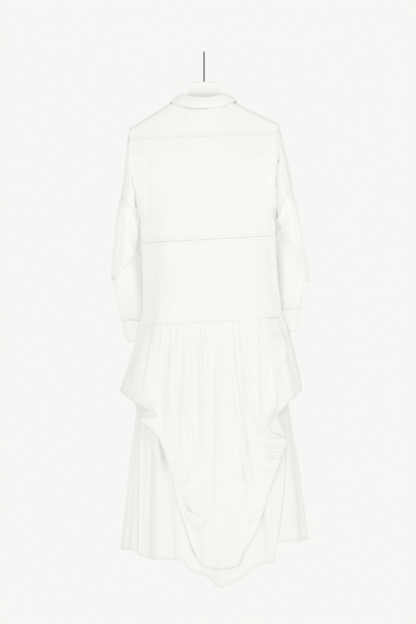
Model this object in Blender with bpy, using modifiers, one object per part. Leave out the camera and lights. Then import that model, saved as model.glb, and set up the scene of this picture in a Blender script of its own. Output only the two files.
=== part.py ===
"""Cotton poplin shirt dress on a plain hanger.

A boxy shirt bodice with dropped shoulders hangs from a flat hanger. A gathered overskirt, caught up
at both sides, and a plain flared underskirt are sewn into its hip seam. The dress hangs a little
crooked, lower at the wearer's left.

Metres, +Z up. The origin is the place inside the hook where it rests on a rail. +X is the wearer's
left and +Y the wearer's back. "Drop" is the distance below the origin.
"""
import math

import bmesh
import bpy
import numpy as np
from mathutils import Matrix, Vector

CLOTH = 0.0012          # thickness of the cloth
CUFF_CLOTH = 0.0020     # a cuff is two layers and interfacing
SEAM_INSET = 0.00028    # each piece stops this far short of its seam line, which leaves about 0.4 mm
OVERLAY = CLOTH + 0.0003

RIGHT_SIDE, LEFT_SIDE = -1, 1
BACK, FRONT = 1, -1


# ---------------------------------------------------------------- tables

def table(names, *rows):
    """A table with named columns, one row a level or place; the first column always rises."""
    return dict(zip(names.split(), np.array(rows, float).T))


def read(rows, column, at):
    """Smooth curve through a column, read at values of the first column, with no overshoot."""
    key = rows[next(iter(rows))]
    value = rows[column]
    step = np.diff(key)
    slope = np.diff(value) / step
    same_way = slope[:-1] * slope[1:] > 0
    both = np.where(same_way, slope[:-1] + slope[1:], 1.0)
    bend = np.where(same_way, 2 * slope[:-1] * slope[1:] / both, 0.0)
    tangent = np.concatenate([slope[:1], bend, slope[-1:]])
    i = np.clip(np.searchsorted(key, at) - 1, 0, len(step) - 1)
    t = np.clip((at - key[i]) / step[i], 0, 1)
    return (value[i] * (1 + 2 * t) * (1 - t) ** 2 + value[i + 1] * t * t * (3 - 2 * t)
            + step[i] * t * (1 - t) * (tangent[i] * (1 - t) - tangent[i + 1] * t))


def by_side(rows, name, c, at):
    """The left or the right column of a table, by the sign of c."""
    left, right = (name + "left", name + "right")
    return np.where(c >= 0, read(rows, left, at), read(rows, right, at))


# Across the bodice, column c is 0 at the centre, 1 at the side seam or at the fold between body and
# arm, ARM_START past that fold, and 2 on the line along the top of the arm. Left is positive.
FLAT_SHARE = 0.5
NECK_SHARE = 0.36
ARM_START = 1.05
ARM_END = 2.0
FOLD_WIDTH = 0.006      # the floor of the fold between body and arm

# Down the bodice, row k is 0 on the shoulder line, 1 at the yoke seam, 2 at the underarm and the
# sleeve seams, 3 at the waist seam and 4 at the hip seam.
ROLL_ROW = 0.4
ROLL_RADIUS = 0.011     # of the cloth over the hanger
ROLL_START, ROLL_END = 0.18, 0.40      # the roll begins and is whole at these columns
NECK_HELD = 0.012       # the neck seam keeps its place where it is this far off the hanger
TIP_GAP = 0.0004        # back and front stand this much further apart where they turn over the tip
HANG_POWER = 0.8        # how soon the cloth leaves the hanger for the level ring below

SHOULDER = table(
    "column left   right  left_drop right_drop",
    (0.36, 0.070, 0.062, 0.131, 0.129),
    (0.50, 0.105, 0.100, 0.151, 0.149),
    (0.61, 0.140, 0.137, 0.173, 0.168),
    (0.72, 0.168, 0.166, 0.190, 0.182),
    (0.81, 0.186, 0.185, 0.2015, 0.1915),
    (0.89, 0.197, 0.197, 0.2085, 0.197),
    (1.00, 0.205, 0.205, 0.2135, 0.201),
    (1.05, 0.207, 0.207, 0.2148, 0.202),
    (2.00, 0.214, 0.214, 0.219, 0.205))

# Level rings of the bodice. "floor" is how far back the fold between body and arm stays.
BODICE = table(
    "drop left    right  corner floor   arm_left arm_right arm_depth back   front",
    (0.300, 0.211, 0.210, 0.090, 0.030, 0.2235, 0.236, 0.038, 0.045, 0.055),
    (0.353, 0.202, 0.2025, 0.090, 0.032, 0.2295, 0.248, 0.043, 0.049, 0.058),
    (0.396, 0.194, 0.203, 0.090, 0.027, 0.2365, 0.256, 0.046, 0.053, 0.060),
    (0.425, 0.1915, 0.204, 0.090, 0.018, 0.242, 0.262, 0.048, 0.056, 0.062),
    (0.475, 0.188, 0.205, 0.090, 0.0016, 0.247, 0.271, 0.050, 0.060, 0.064),
    (0.500, 0.185, 0.205, 0.090, 0.0007, 0.247, 0.271, 0.050, 0.062, 0.065),
    (0.545, 0.182, 0.206, 0.090, 0.0007, 0.247, 0.271, 0.050, 0.065, 0.067),
    (0.650, 0.177, 0.212, 0.090, 0.0007, 0.247, 0.271, 0.050, 0.070, 0.070),
    (0.710, 0.177, 0.2195, 0.090, 0.0007, 0.247, 0.271, 0.050, 0.074, 0.074),
    (0.790, 0.186, 0.230, 0.090, 0.0007, 0.247, 0.271, 0.050, 0.079, 0.078))
RING_START = BODICE["drop"][0]

NECK_SHIFT = 0.004
NECK_HALF = 0.066
NECK_BACK, NECK_FRONT = 0.034, 0.070
NECK_BACK_DROP, NECK_FRONT_DROP = 0.165, 0.215

YOKE_DROP, YOKE_SLANT = 0.2425, 0.04
UNDERARM_LEFT_DROP, UNDERARM_RIGHT_DROP = 0.475, 0.479
WAIST_DROP, HIP_DROP, SEAM_SLANT = 0.537, 0.772, 0.054

TORSO_COLUMNS = (0.0, 0.09, 0.18, 0.27, 0.36, 0.50, 0.61, 0.72, 0.81, 0.89, 1.0)
ARM_ANGLES = (180, 155, 130, 100, 70, 45, 20, 0)
BODICE_ROWS = (0, 0.022, 0.09, 0.22, 0.4, 1, 1.33, 1.67, 2, 2.5, 3, 4)


def arm_angle(c):
    """Angle round the arm from its top line: half a turn at the fold, nothing on the top line."""
    return np.clip((ARM_END - np.abs(c)) / (ARM_END - ARM_START), 0, 1) * np.pi


def arm_column(degrees):
    return ARM_END - (ARM_END - ARM_START) * degrees / 180


ARM_COLUMNS = tuple(arm_column(angle) for angle in ARM_ANGLES)
HALF_COLUMNS = TORSO_COLUMNS + ARM_COLUMNS
YOKE_COLUMN = arm_column(45)

# Rings of the sleeves, from the sleeve seam down. The four drops are those of the ring's outer, back,
# inner and front points. "outer" and "inner" are how far out the ring reaches, y_mid its middle.
SLEEVE_NAMES = "ring o_drop b_drop i_drop f_drop outer inner y_mid back front"
SLEEVE_LEFT = table(
    SLEEVE_NAMES,
    (0, 0.425, 0.430, 0.475, 0.430, 0.242, 0.194, 0.000, 0.048, 0.048),
    (1, 0.470, 0.470, 0.487, 0.472, 0.250, 0.1925, -0.005, 0.048, 0.051),
    (2, 0.530, 0.515, 0.505, 0.525, 0.257, 0.185, -0.019, 0.049, 0.050),
    (3, 0.595, 0.563, 0.525, 0.578, 0.263, 0.180, -0.030, 0.050, 0.048),
    (4, 0.638, 0.597, 0.538, 0.612, 0.2665, 0.180, -0.032, 0.048, 0.046),
    (5, 0.652, 0.608, 0.545, 0.622, 0.267, 0.180, -0.032, 0.046, 0.044),
    (6, 0.641, 0.596, 0.553, 0.632, 0.260, 0.180, -0.032, 0.026, 0.038),
    (7, 0.673, 0.640, 0.600, 0.660, 0.258, 0.168, -0.040, 0.024, 0.034),
    (8, 0.720, 0.700, 0.680, 0.708, 0.248, 0.158, -0.054, 0.024, 0.032),
    (9, 0.767, 0.767, 0.767, 0.767, 0.238, 0.152, -0.072, 0.024, 0.030))
SLEEVE_RIGHT = table(
    SLEEVE_NAMES,
    (0, 0.382, 0.410, 0.479, 0.410, 0.2537, 0.211, 0.000, 0.046, 0.046),
    (1, 0.445, 0.442, 0.487, 0.445, 0.266, 0.2095, -0.005, 0.048, 0.050),
    (2, 0.515, 0.480, 0.493, 0.490, 0.279, 0.2055, -0.018, 0.049, 0.050),
    (3, 0.590, 0.515, 0.498, 0.540, 0.292, 0.203, -0.030, 0.050, 0.048),
    (4, 0.640, 0.535, 0.503, 0.585, 0.300, 0.203, -0.032, 0.048, 0.046),
    (5, 0.654, 0.545, 0.509, 0.600, 0.302, 0.203, -0.032, 0.046, 0.044),
    (6, 0.642, 0.533, 0.517, 0.610, 0.294, 0.202, -0.032, 0.026, 0.038),
    (7, 0.665, 0.605, 0.585, 0.640, 0.284, 0.194, -0.040, 0.024, 0.034),
    (8, 0.700, 0.680, 0.665, 0.690, 0.280, 0.192, -0.054, 0.024, 0.032),
    (9, 0.735, 0.735, 0.735, 0.735, 0.2765, 0.190, -0.070, 0.024, 0.030))
CUFF_LEFT = table(
    SLEEVE_NAMES,
    (0, 0.767, 0.767, 0.767, 0.767, 0.238, 0.152, -0.072, 0.024, 0.030),
    (1, 0.798, 0.798, 0.798, 0.798, 0.232, 0.149, -0.083, 0.024, 0.027),
    (2, 0.829, 0.829, 0.829, 0.829, 0.225, 0.146, -0.094, 0.024, 0.025))
CUFF_RIGHT = table(
    SLEEVE_NAMES,
    (0, 0.735, 0.735, 0.735, 0.735, 0.2765, 0.190, -0.070, 0.024, 0.030),
    (1, 0.768, 0.768, 0.768, 0.768, 0.273, 0.186, -0.082, 0.024, 0.027),
    (2, 0.801, 0.801, 0.801, 0.801, 0.268, 0.182, -0.094, 0.024, 0.025))
SLEEVES = {LEFT_SIDE: SLEEVE_LEFT, RIGHT_SIDE: SLEEVE_RIGHT}
CUFFS = {LEFT_SIDE: CUFF_LEFT, RIGHT_SIDE: CUFF_RIGHT}


# ---------------------------------------------------------------- the bodice

def level_ring(rows, face, c, drop, round_side=True):
    """A ring at one level: flat across the middle, then a quarter ellipse round to the side, or a
    parabola to a fold at the side."""
    a = np.minimum(np.abs(c), 1)
    corner = read(rows, "corner", drop)
    depth = np.where(face > 0, read(rows, "back", drop), read(rows, "front", drop))
    floor = read(rows, "floor", drop) if "floor" in rows else 0
    aside = np.clip((a - FLAT_SHARE) / (1 - FLAT_SHARE), 0, 1)
    out, full = aside, 1 - aside ** 2
    if round_side:
        out, full = np.sin(aside * np.pi / 2), np.cos(aside * np.pi / 2)
    flat = np.minimum(a / FLAT_SHARE, 1) * (by_side(rows, "", c, drop) - corner)
    return np.sign(c) * (flat + corner * out), floor + (depth - floor) * full


def bodice_ring(face, c, drop):
    """The body's ring, with the arm's half ellipse beyond the fold."""
    body_x, body_y = level_ring(BODICE, face, c, drop, round_side=False)
    inner = by_side(BODICE, "", c, drop) + FOLD_WIDTH
    outer = by_side(BODICE, "arm_", c, drop)
    floor = read(BODICE, "floor", drop)
    angle = arm_angle(c)
    arm_x = np.sign(c) * ((inner + outer) / 2 + (outer - inner) / 2 * np.cos(angle))
    arm_y = (floor * (1 - np.cos(angle)) / 2
             + (read(BODICE, "arm_depth", drop) - floor / 2) * np.sin(angle))
    arm = np.abs(c) > 1
    return np.where(arm, arm_x, body_x), np.where(arm, arm_y, body_y)


def bodice_top(face, c):
    """Top edge of a sheet: a parabola round the neck, then the shoulder line out to the tip."""
    a = np.abs(c)
    aside = np.clip(a / NECK_SHARE, 0, 1)
    centre_y, centre_drop, power = ((NECK_BACK, NECK_BACK_DROP, 2) if face > 0
                                    else (NECK_FRONT, NECK_FRONT_DROP, 1.5))
    shoulder_drop = np.where(c >= 0, read(SHOULDER, "left_drop", a), read(SHOULDER, "right_drop", a))
    drop = shoulder_drop + (centre_drop - shoulder_drop) * (1 - aside ** 2) ** power
    neck_x = NECK_SHIFT + np.sign(c) * NECK_HALF * aside
    x = np.where(a <= NECK_SHARE, neck_x, np.sign(c) * by_side(SHOULDER, "", c, a))
    return x, centre_y * (1 - aside ** 2), drop


def ring_drop(rows, ring, angle):
    """Drop round a slanted ring, through its outer, back, inner and front points."""
    o, b, i, f = (read(rows, name, ring) for name in ("o_drop", "b_drop", "i_drop", "f_drop"))
    return ((o + b + i + f) / 4 + (o - i) / 2 * np.cos(angle) + (b - f) / 2 * np.sin(angle)
            + (o + i - b - f) / 4 * np.cos(2 * angle))


def underarm_drop(face, c):
    """Drop of row 2: level under the arms, and the slanted sleeve seam round each arm."""
    body = UNDERARM_RIGHT_DROP + (UNDERARM_LEFT_DROP - UNDERARM_RIGHT_DROP) * (np.clip(c, -1, 1) + 1) / 2
    angle = face * arm_angle(c)
    arm = np.where(c > 0, ring_drop(SLEEVE_LEFT, 0, angle), ring_drop(SLEEVE_RIGHT, 0, angle))
    return np.where(np.abs(c) > 1, arm, body)


def yoke_drop(c, x, top, underarm):
    """Drop of the yoke seam, which keeps its share of the way down along the arms."""
    body = YOKE_DROP + YOKE_SLANT * x
    side = np.sign(c)
    edge_x = by_side(SHOULDER, "", c, 1.0)
    edge_top = np.where(c >= 0, read(SHOULDER, "left_drop", 1.0), read(SHOULDER, "right_drop", 1.0))
    edge_underarm = np.where(c >= 0, UNDERARM_LEFT_DROP, UNDERARM_RIGHT_DROP)
    share = (YOKE_DROP + YOKE_SLANT * side * edge_x - edge_top) / (edge_underarm - edge_top)
    return np.where(np.abs(c) > 1, top + share * (underarm - top), body)


def bodice_sheet(face, columns, rows, straight=None):
    """Middle surface of the bodice's back or front, as rows x columns x 3 points.

    Each point goes from the top edge to the level ring at RING_START. Over the hanger the cloth
    starts with a roll of ROLL_RADIUS. "straight" gives the columns that hang at a fixed x.
    """
    c, k = np.meshgrid(columns, rows)
    top_x, top_y, top_drop = bodice_top(face, c)
    underarm = underarm_drop(face, c)
    x = top_x
    for _ in range(6):
        bounds = (top_drop, top_drop + ROLL_RADIUS, yoke_drop(c, x, top_drop, underarm), underarm,
                  WAIST_DROP + SEAM_SLANT * x, HIP_DROP + SEAM_SLANT * x)
        knots = (0, ROLL_ROW, 1, 2, 3, 4)
        drop = bounds[0].copy()
        for i in range(len(knots) - 1):
            share = np.clip((k - knots[i]) / (knots[i + 1] - knots[i]), 0, 1)
            drop += share * (bounds[i + 1] - bounds[i])
        ring_x, ring_y = bodice_ring(face, c, np.maximum(drop, RING_START))
        for column, place in (straight or {}).items():
            ring_x = np.where(c == column, place, ring_x)
            top_x = np.where(c == column, place, top_x)
        share = np.clip((drop - top_drop) / (RING_START - top_drop), 0, 1)
        x = top_x + (ring_x - top_x) * share
    angle = arm_angle(c)
    round_arm = np.clip((np.abs(c) - ARM_START) / (ARM_END - ARM_START), 0, 1)
    roll = ROLL_RADIUS * np.where(np.abs(c) > 1, (1 - np.cos(angle)) / 2 + np.sin(angle) / 2, 1)
    rolled = np.sqrt(1 - (1 - np.clip((drop - top_drop) / ROLL_RADIUS, 0, 1)) ** 2)
    over_hanger = roll * rolled + (ring_y - roll) * share ** HANG_POWER
    from_neck = top_y + (ring_y - top_y) * share
    on_shoulder = np.clip((np.abs(c) - ROLL_START) / (ROLL_END - ROLL_START), 0, 1)
    over = on_shoulder ** 2 * (3 - 2 * on_shoulder) * (1 - (1 - rolled) * np.clip(top_y / NECK_HELD, 0, 1))
    y = from_neck + (over_hanger - from_neck) * over
    y += TIP_GAP * round_arm * np.clip(1 - k / ROLL_ROW, 0, 1)
    return np.stack([x, face * y, -drop], axis=2)


def tube_ring(rows, side, ring, angles):
    """Points round a sleeve or cuff, out along the side, from the outer point towards the back."""
    ring = np.asarray(ring, float)[:, None] + 0 * angles
    drop = ring_drop(rows, ring, angles)
    outer, inner = read(rows, "outer", ring), read(rows, "inner", ring)
    depth = np.where(np.sin(angles) > 0, read(rows, "back", ring), read(rows, "front", ring))
    x = side * ((outer + inner) / 2 + (outer - inner) / 2 * np.cos(angles))
    y = read(rows, "y_mid", ring) + depth * np.sin(angles)
    return np.stack([x, y, -drop], axis=2)


# ---------------------------------------------------------------- sheets and solids

collection = None


def new_material(name, colour, roughness, metallic=0.0):
    material = bpy.data.materials.new(name)
    material.use_nodes = True
    shader = material.node_tree.nodes["Principled BSDF"]
    shader.inputs["Base Color"].default_value = (*colour, 1)
    shader.inputs["Roughness"].default_value = roughness
    shader.inputs["Metallic"].default_value = metallic
    return material


def pull_in(mesh, distance):
    """Move a sheet's edge inwards along its surface, so that the sheets that share it stay apart."""
    moved = {}
    for vertex in mesh.verts:
        edges = [edge for edge in vertex.link_edges if edge.is_boundary]
        if len(edges) != 2:
            continue
        inward = []
        for edge in edges:
            face = edge.link_faces[0]
            across = face.normal.cross(edge.verts[1].co - edge.verts[0].co).normalized()
            if across.dot(face.calc_center_median() - edge.verts[0].co) < 0:
                across.negate()
            inward.append(across)
        share = max(1 + inward[0].dot(inward[1]), 0.4)
        moved[vertex] = (inward[0] + inward[1]) * distance / share
    for vertex, move in moved.items():
        vertex.co += move


def add_object(name, mesh, material):
    piece = bpy.data.objects.new(name, mesh)
    piece.data.materials.append(material)
    collection.objects.link(piece)
    return piece


def sheet(name, points, material, cells=None, closed=False, thickness=CLOTH):
    """A wall of cloth on a grid of points; cells picks the grid's cells that belong to it."""
    rows, columns = points.shape[:2]
    spans = columns if closed else columns - 1
    if cells is None:
        cells = np.ones((rows - 1, spans), bool)
    mesh = bmesh.new()
    vertices = [[mesh.verts.new(point) for point in row] for row in points.tolist()]
    for r, s in zip(*np.nonzero(cells)):
        after = (s + 1) % columns
        mesh.faces.new((vertices[r][s], vertices[r][after], vertices[r + 1][after], vertices[r + 1][s]))
    bmesh.ops.delete(mesh, geom=[v for v in mesh.verts if not v.link_faces], context="VERTS")
    bmesh.ops.recalc_face_normals(mesh, faces=mesh.faces)
    mesh.normal_update()
    pull_in(mesh, SEAM_INSET)
    bmesh.ops.triangulate(mesh, faces=mesh.faces, quad_method="SHORT_EDGE")
    data = bpy.data.meshes.new(name)
    mesh.to_mesh(data)
    mesh.free()
    data.shade_smooth()
    piece = add_object(name, data, material)
    wall = piece.modifiers.new("wall", "SOLIDIFY")
    wall.thickness = thickness
    wall.offset = 0
    return piece


def moved_out(points, distance):
    """A grid moved along its own normals, away from the Z axis."""
    down = np.gradient(points, axis=0)
    along = np.gradient(points, axis=1)
    normal = np.cross(along, down)
    normal /= np.linalg.norm(normal, axis=2, keepdims=True)
    outward = np.sign((normal[..., :2] * points[..., :2]).sum())
    return points + normal * distance * outward


# ---------------------------------------------------------------- bodice pieces

def both_sides(half):
    return tuple(-c for c in half[:0:-1]) + tuple(half)


def column_cells(columns, low, high):
    """Which cells lie between two columns, counted by their middles."""
    middle = (np.array(columns[:-1]) + np.array(columns[1:])) / 2
    return (middle > low) & (middle < high)


def back_pieces(cloth):
    columns = both_sides(HALF_COLUMNS)
    points = bodice_sheet(BACK, columns, BODICE_ROWS)
    rows = (np.array(BODICE_ROWS[:-1]) + np.array(BODICE_ROWS[1:]))[:, None] / 2
    inside = column_cells(columns, -YOKE_COLUMN, YOKE_COLUMN)[None]
    body = column_cells(columns, -1, 1)[None]
    whole = np.ones_like(inside)
    sheet("back_yoke", points, cloth, (rows < 2) & ((rows < 1) & whole | ~inside))
    sheet("back_upper", points, cloth, (rows > 1) & ((rows < 2) & inside | (rows < 3) & body))
    sheet("back_lower", points, cloth, (rows > 3) & body)


# The two fronts' centre edges, as columns of the neckline and as places. The left runs on under
# the placket, and the right stops beside it.
LEFT_EDGE_COLUMN, LEFT_EDGE = -0.060, -0.0130
RIGHT_EDGE_COLUMN, RIGHT_EDGE = -0.069, -0.0155
PLACKET_HALF = 0.015


def front_pieces(cloth, plastic):
    """Left and right front, and the placket on their centre columns, moved out."""
    rows = (np.array(BODICE_ROWS[:-1]) + np.array(BODICE_ROWS[1:]))[:, None] / 2
    left = (LEFT_EDGE_COLUMN,) + HALF_COLUMNS
    right = tuple(-c for c in HALF_COLUMNS[:0:-1]) + (RIGHT_EDGE_COLUMN,)
    for name, columns, edge, place in (("front_left", left, LEFT_EDGE_COLUMN, LEFT_EDGE),
                                       ("front_right", right, RIGHT_EDGE_COLUMN, RIGHT_EDGE)):
        points = bodice_sheet(FRONT, columns, BODICE_ROWS, {edge: place})
        body = column_cells(columns, -1, 1)[None]
        sheet(name, points, cloth, (rows < 2) | body)
    columns = {-0.02: -PLACKET_HALF, 0.0: 0.0, 0.02: PLACKET_HALF}
    placket = moved_out(bodice_sheet(FRONT, tuple(columns), BODICE_ROWS, columns), OVERLAY)
    sheet("placket", placket, cloth)
    placket_buttons(placket, plastic)


UNDERARM_SPLIT = math.radians(4)    # back and front meet the sleeve's underarm either side of this


def sleeve_pieces(cloth, plastic):
    """Each sleeve's first ring is the bodice's own seam; a button sits on the front of each cuff."""
    half = np.radians(ARM_ANGLES)[::-1]
    back_half = np.concatenate([half[:-1], [np.pi - UNDERARM_SPLIT]])
    angles = np.concatenate([back_half, 2 * np.pi - back_half[:0:-1]])
    for side, word in ((LEFT_SIDE, "left"), (RIGHT_SIDE, "right")):
        points = tube_ring(SLEEVES[side], side, SLEEVES[side]["ring"], angles)
        columns = side * (ARM_END - (ARM_END - ARM_START) * half / np.pi)
        backs, fronts = (bodice_sheet(face, columns, (2.0,))[0] for face in (BACK, FRONT))
        points[0] = np.concatenate([backs, fronts[:0:-1]])
        sheet("sleeve_" + word, points, cloth, closed=True)
        cuff = tube_ring(CUFFS[side], side, CUFFS[side]["ring"], angles)
        sheet("cuff_" + word, cuff, cloth, closed=True, thickness=CUFF_CLOTH)
        front = int(np.argmin(np.abs(angles - CUFF_BUTTON_ANGLE)))
        button("button_cuff_" + word, cuff[1, front], square_to(cuff[:, front]), CUFF_CLOTH / 2, plastic)


# ---------------------------------------------------------------- collar and buttons

# The collar runs round the neck by its turn from the centre back, the wearer's left positive.
COLLAR_TURNS = (22.5, 45, 67.5, 90, 112.5, 135, 157.5, 180)
STAND_OVERLAP = 15      # degrees that each end runs past the centre front
STAND_LIFT = 0.0007     # the stand rises from the sloping shoulder, so its foot clears it
STAND_STEP = 0.0019     # the right end steps out over the left
STEP_START, STEP_TURN = 150, 20     # degrees
STAND_TOP = table(
    "turn  x_half y_reach drop_left drop_right",
    (0,   0.055, 0.034, 0.134, 0.134),
    (90,  0.055, 0.036, 0.1215, 0.119),
    (135, 0.055, 0.048, 0.143, 0.141),
    (180, 0.055, 0.062, 0.190, 0.190))
STAND_TOP_SHIFT = 0.003

LEAF_ROLL = 0.0035      # radius of the fold along the collar's top
LEAF_RISE = 0.0015
LEAF_END = 172          # degrees from the centre back to the collar's points
LEAF_ROLL_STEPS = 5
LEAF_SHARES = (0.35, 0.7, 1.0)
LEAF_FALL = table(
    "turn  length flare",
    (0,   0.030, 8),
    (45,  0.033, 24),
    (67,  0.038, 42),
    (90,  0.0435, 55),
    (113, 0.0445, 48),
    (135, 0.046, 32),
    (172, 0.062, 20))

BUTTON_RADIUS, BUTTON_THICK, BUTTON_EDGE = 0.0055, 0.0024, 0.0005
BUTTON_GAP = 0.0003
BUTTON_COUNT, FIRST_BUTTON, BUTTON_SPACING = 7, 0.250, 0.078
CUFF_BUTTON_ANGLE = math.radians(290)


def neckline(turn):
    """Point and drop of the neck seam at a turn from the centre back, in radians."""
    shoulder = np.where(turn >= 0, SHOULDER["left_drop"][0], SHOULDER["right_drop"][0])
    at_back = np.cos(turn) > 0
    centre = np.where(at_back, NECK_BACK_DROP, NECK_FRONT_DROP)
    drop = shoulder + (centre - shoulder) * np.abs(np.cos(turn)) ** np.where(at_back, 4, 3)
    y = np.where(at_back, NECK_BACK, -NECK_FRONT) * np.cos(turn) ** 2
    return np.stack([NECK_SHIFT + NECK_HALF * np.sin(turn), y, -drop], axis=-1)


def stand_top(turn):
    degrees = np.minimum(np.abs(np.degrees(turn)), 180)
    drop = np.where(turn >= 0, read(STAND_TOP, "drop_left", degrees),
                    read(STAND_TOP, "drop_right", degrees))
    x = STAND_TOP_SHIFT + read(STAND_TOP, "x_half", degrees) * np.sin(turn)
    return np.stack([x, read(STAND_TOP, "y_reach", degrees) * np.cos(turn), -drop], axis=-1)


def outward(turn):
    return np.stack([np.sin(turn), np.cos(turn), 0 * turn], axis=-1)


def collar_pieces(cloth, plastic):
    half = np.radians(COLLAR_TURNS + (180 + STAND_OVERLAP,))
    turn = np.concatenate([-half[::-1], [0], half])
    foot, top = neckline(turn), stand_top(turn)
    foot[:, 2] += STAND_LIFT
    step_out = np.clip((-np.degrees(turn) - STEP_START) / STEP_TURN, 0, 1) * STAND_STEP
    side_step = outward(turn) * step_out[:, None]
    points = np.stack([foot + (top - foot) * share + side_step for share in (0, 0.5, 1)])
    sheet("collar_stand", points, cloth)
    at_front = int(np.argmin(np.abs(turn + np.pi)))
    button("button_collar", points[1, at_front], square_to(points[:, at_front]), CLOTH / 2, plastic)

    half = np.radians(COLLAR_TURNS)
    turn = np.concatenate([-half[::-1], [0], half])
    base = stand_top(turn)
    before, last = COLLAR_TURNS[-2:]
    for end, inner in ((0, 1), (-1, -2)):
        share = (LEAF_END - before) / (last - before)
        base[end] = base[inner] + (base[end] - base[inner]) * share
        turn[end] = turn[inner] + (turn[end] - turn[inner]) * share
    degrees = np.abs(np.degrees(turn))
    flare = np.radians(read(LEAF_FALL, "flare", degrees))
    length = read(LEAF_FALL, "length", degrees)
    rows = [(0 * turn, 0 * turn)]
    for share in np.linspace(0, 1, LEAF_ROLL_STEPS):
        angle = np.pi + (flare - np.pi) * share
        rows.append((LEAF_ROLL * (1 + np.cos(angle)), LEAF_RISE + LEAF_ROLL * np.sin(angle)))
    out, up = rows[-1]
    for share in LEAF_SHARES:
        rows.append((out + length * share * np.sin(flare), up - length * share * np.cos(flare)))
    leaf = [base + outward(turn) * out[:, None] + np.array([0, 0, 1]) * up[:, None] for out, up in rows]
    sheet("collar_leaf", np.stack(leaf), cloth)


def square_to(line):
    """Direction square to a line of points that runs down a front, away from the body."""
    down = line[-1] - line[0]
    normal = np.array([0, down[2], -down[1]]) / math.hypot(down[1], down[2])
    return normal if normal[1] < 0 else -normal


def button(name, seat, normal, half_wall, plastic):
    """A round button lying on a wall, whose middle surface passes through the seat."""
    mesh = bmesh.new()
    bmesh.ops.create_cone(mesh, cap_ends=True, segments=16, radius1=BUTTON_RADIUS,
                          radius2=BUTTON_RADIUS, depth=BUTTON_THICK)
    data = bpy.data.meshes.new(name)
    mesh.to_mesh(data)
    mesh.free()
    piece = add_object(name, data, plastic)
    piece.location = Vector(seat) + Vector(normal) * (half_wall + BUTTON_GAP + BUTTON_THICK / 2)
    piece.rotation_euler = Vector(normal).to_track_quat("Z", "Y").to_euler()
    edge = piece.modifiers.new("edge", "BEVEL")
    edge.width = BUTTON_EDGE
    edge.segments = 1


def placket_buttons(placket, plastic):
    """Buttons down the centre of the placket, square to the facet that each lies on."""
    centre = placket[:, placket.shape[1] // 2]
    drops = -centre[:, 2]
    for i in range(BUTTON_COUNT):
        drop = FIRST_BUTTON + i * BUTTON_SPACING
        row = int(np.searchsorted(drops, drop)) - 1
        share = (drop - drops[row]) / (drops[row + 1] - drops[row])
        seat = centre[row] + (centre[row + 1] - centre[row]) * share
        button(f"button_{i + 1}", seat, square_to(centre[row:row + 2]), CLOTH / 2, plastic)


# ---------------------------------------------------------------- skirts

UNDERSKIRT = table(
    "drop left    right  corner back   front",
    (0.755, 0.1810, 0.2250, 0.088, 0.0760, 0.0755),
    (0.860, 0.1860, 0.2320, 0.095, 0.084, 0.086),
    (1.003, 0.1940, 0.2420, 0.115, 0.096, 0.100),
    (1.200, 0.2126, 0.2736, 0.140, 0.110, 0.125),
    (1.300, 0.2220, 0.2875, 0.150, 0.116, 0.137),
    (1.420, 0.2340, 0.3020, 0.160, 0.122, 0.150),
    (1.540, 0.2420, 0.3140, 0.165, 0.126, 0.155))
UNDER_INSIDE = 0.0024   # the underskirt's top lies this far inside the overskirt's
TOP_FADE = 0.08         # the hip seam's own shape fades out over this drop

# The underskirt's side seams, as places round it: 0 left side, 1 back, 2 right side, 3 front.
UNDER_SEAMS = table(
    "drop  left   right",
    (0.772, 0.089, 1.955),
    (1.420, 0.250, 1.628),
    (1.540, 0.280, 1.567))
UNDER_LEVELS = (0.0, 0.05, 0.15, 0.3, 0.5, 0.7, 0.85, 1.0)
UNDER_BACK_COLUMNS, UNDER_FRONT_COLUMNS = 41, 25
UNDER_COMMON = 1.380    # both panels share their levels down to here
UNDER_BACK_HEM = table(
    "share drop",
    (0.00, 1.434),
    (0.08, 1.444),
    (0.24, 1.446),
    (0.34, 1.473),
    (0.46, 1.484),
    (0.56, 1.490),
    (0.655, 1.521),
    (0.675, 1.525),
    (0.695, 1.521),
    (0.84, 1.498),
    (0.93, 1.465),
    (1.00, 1.451))
UNDER_FRONT_HEM = table(
    "share drop",
    (0.00, 1.3965),
    (0.15, 1.3965),
    (0.50, 1.405),
    (0.87, 1.422),
    (1.00, 1.422))
# Soft folds of the underskirt: place round it at the top and at the hem, height and width.
UNDER_FOLDS = table(
    "order top  hem   height width",
    (0, -0.02, -0.10, -0.005, 0.07),
    (1, 0.05, 0.10, 0.006, 0.08),
    (2, 0.40, 0.52, 0.006, 0.16),
    (3, 0.70, 0.78, -0.004, 0.08),
    (4, 1.10, 1.12, 0.004, 0.20),
    (5, 1.45, 1.35, -0.004, 0.10),
    (6, 1.80, 1.76, 0.006, 0.10),
    (7, 1.97, 1.90, -0.005, 0.07),
    (8, 2.40, 2.40, 0.012, 0.14),
    (9, 2.75, 2.72, 0.010, 0.12),
    (10, 3.10, 3.12, 0.014, 0.15),
    (11, 3.50, 3.50, 0.010, 0.12))


def hip_seam(face, c):
    """Points of the hip seam at the columns c."""
    return bodice_sheet(face, c, (4.0,))[0]


def hip_seam_round(place):
    """The hip seam at places round the skirt: 0 left side, 1 back, 2 right side, 3 front."""
    place = np.mod(place, 4)
    at_back = place < 2
    c = np.where(at_back, 1 - place, place - 3)
    return np.where(at_back[:, None], hip_seam(BACK, c), hip_seam(FRONT, c)), at_back, c


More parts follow.
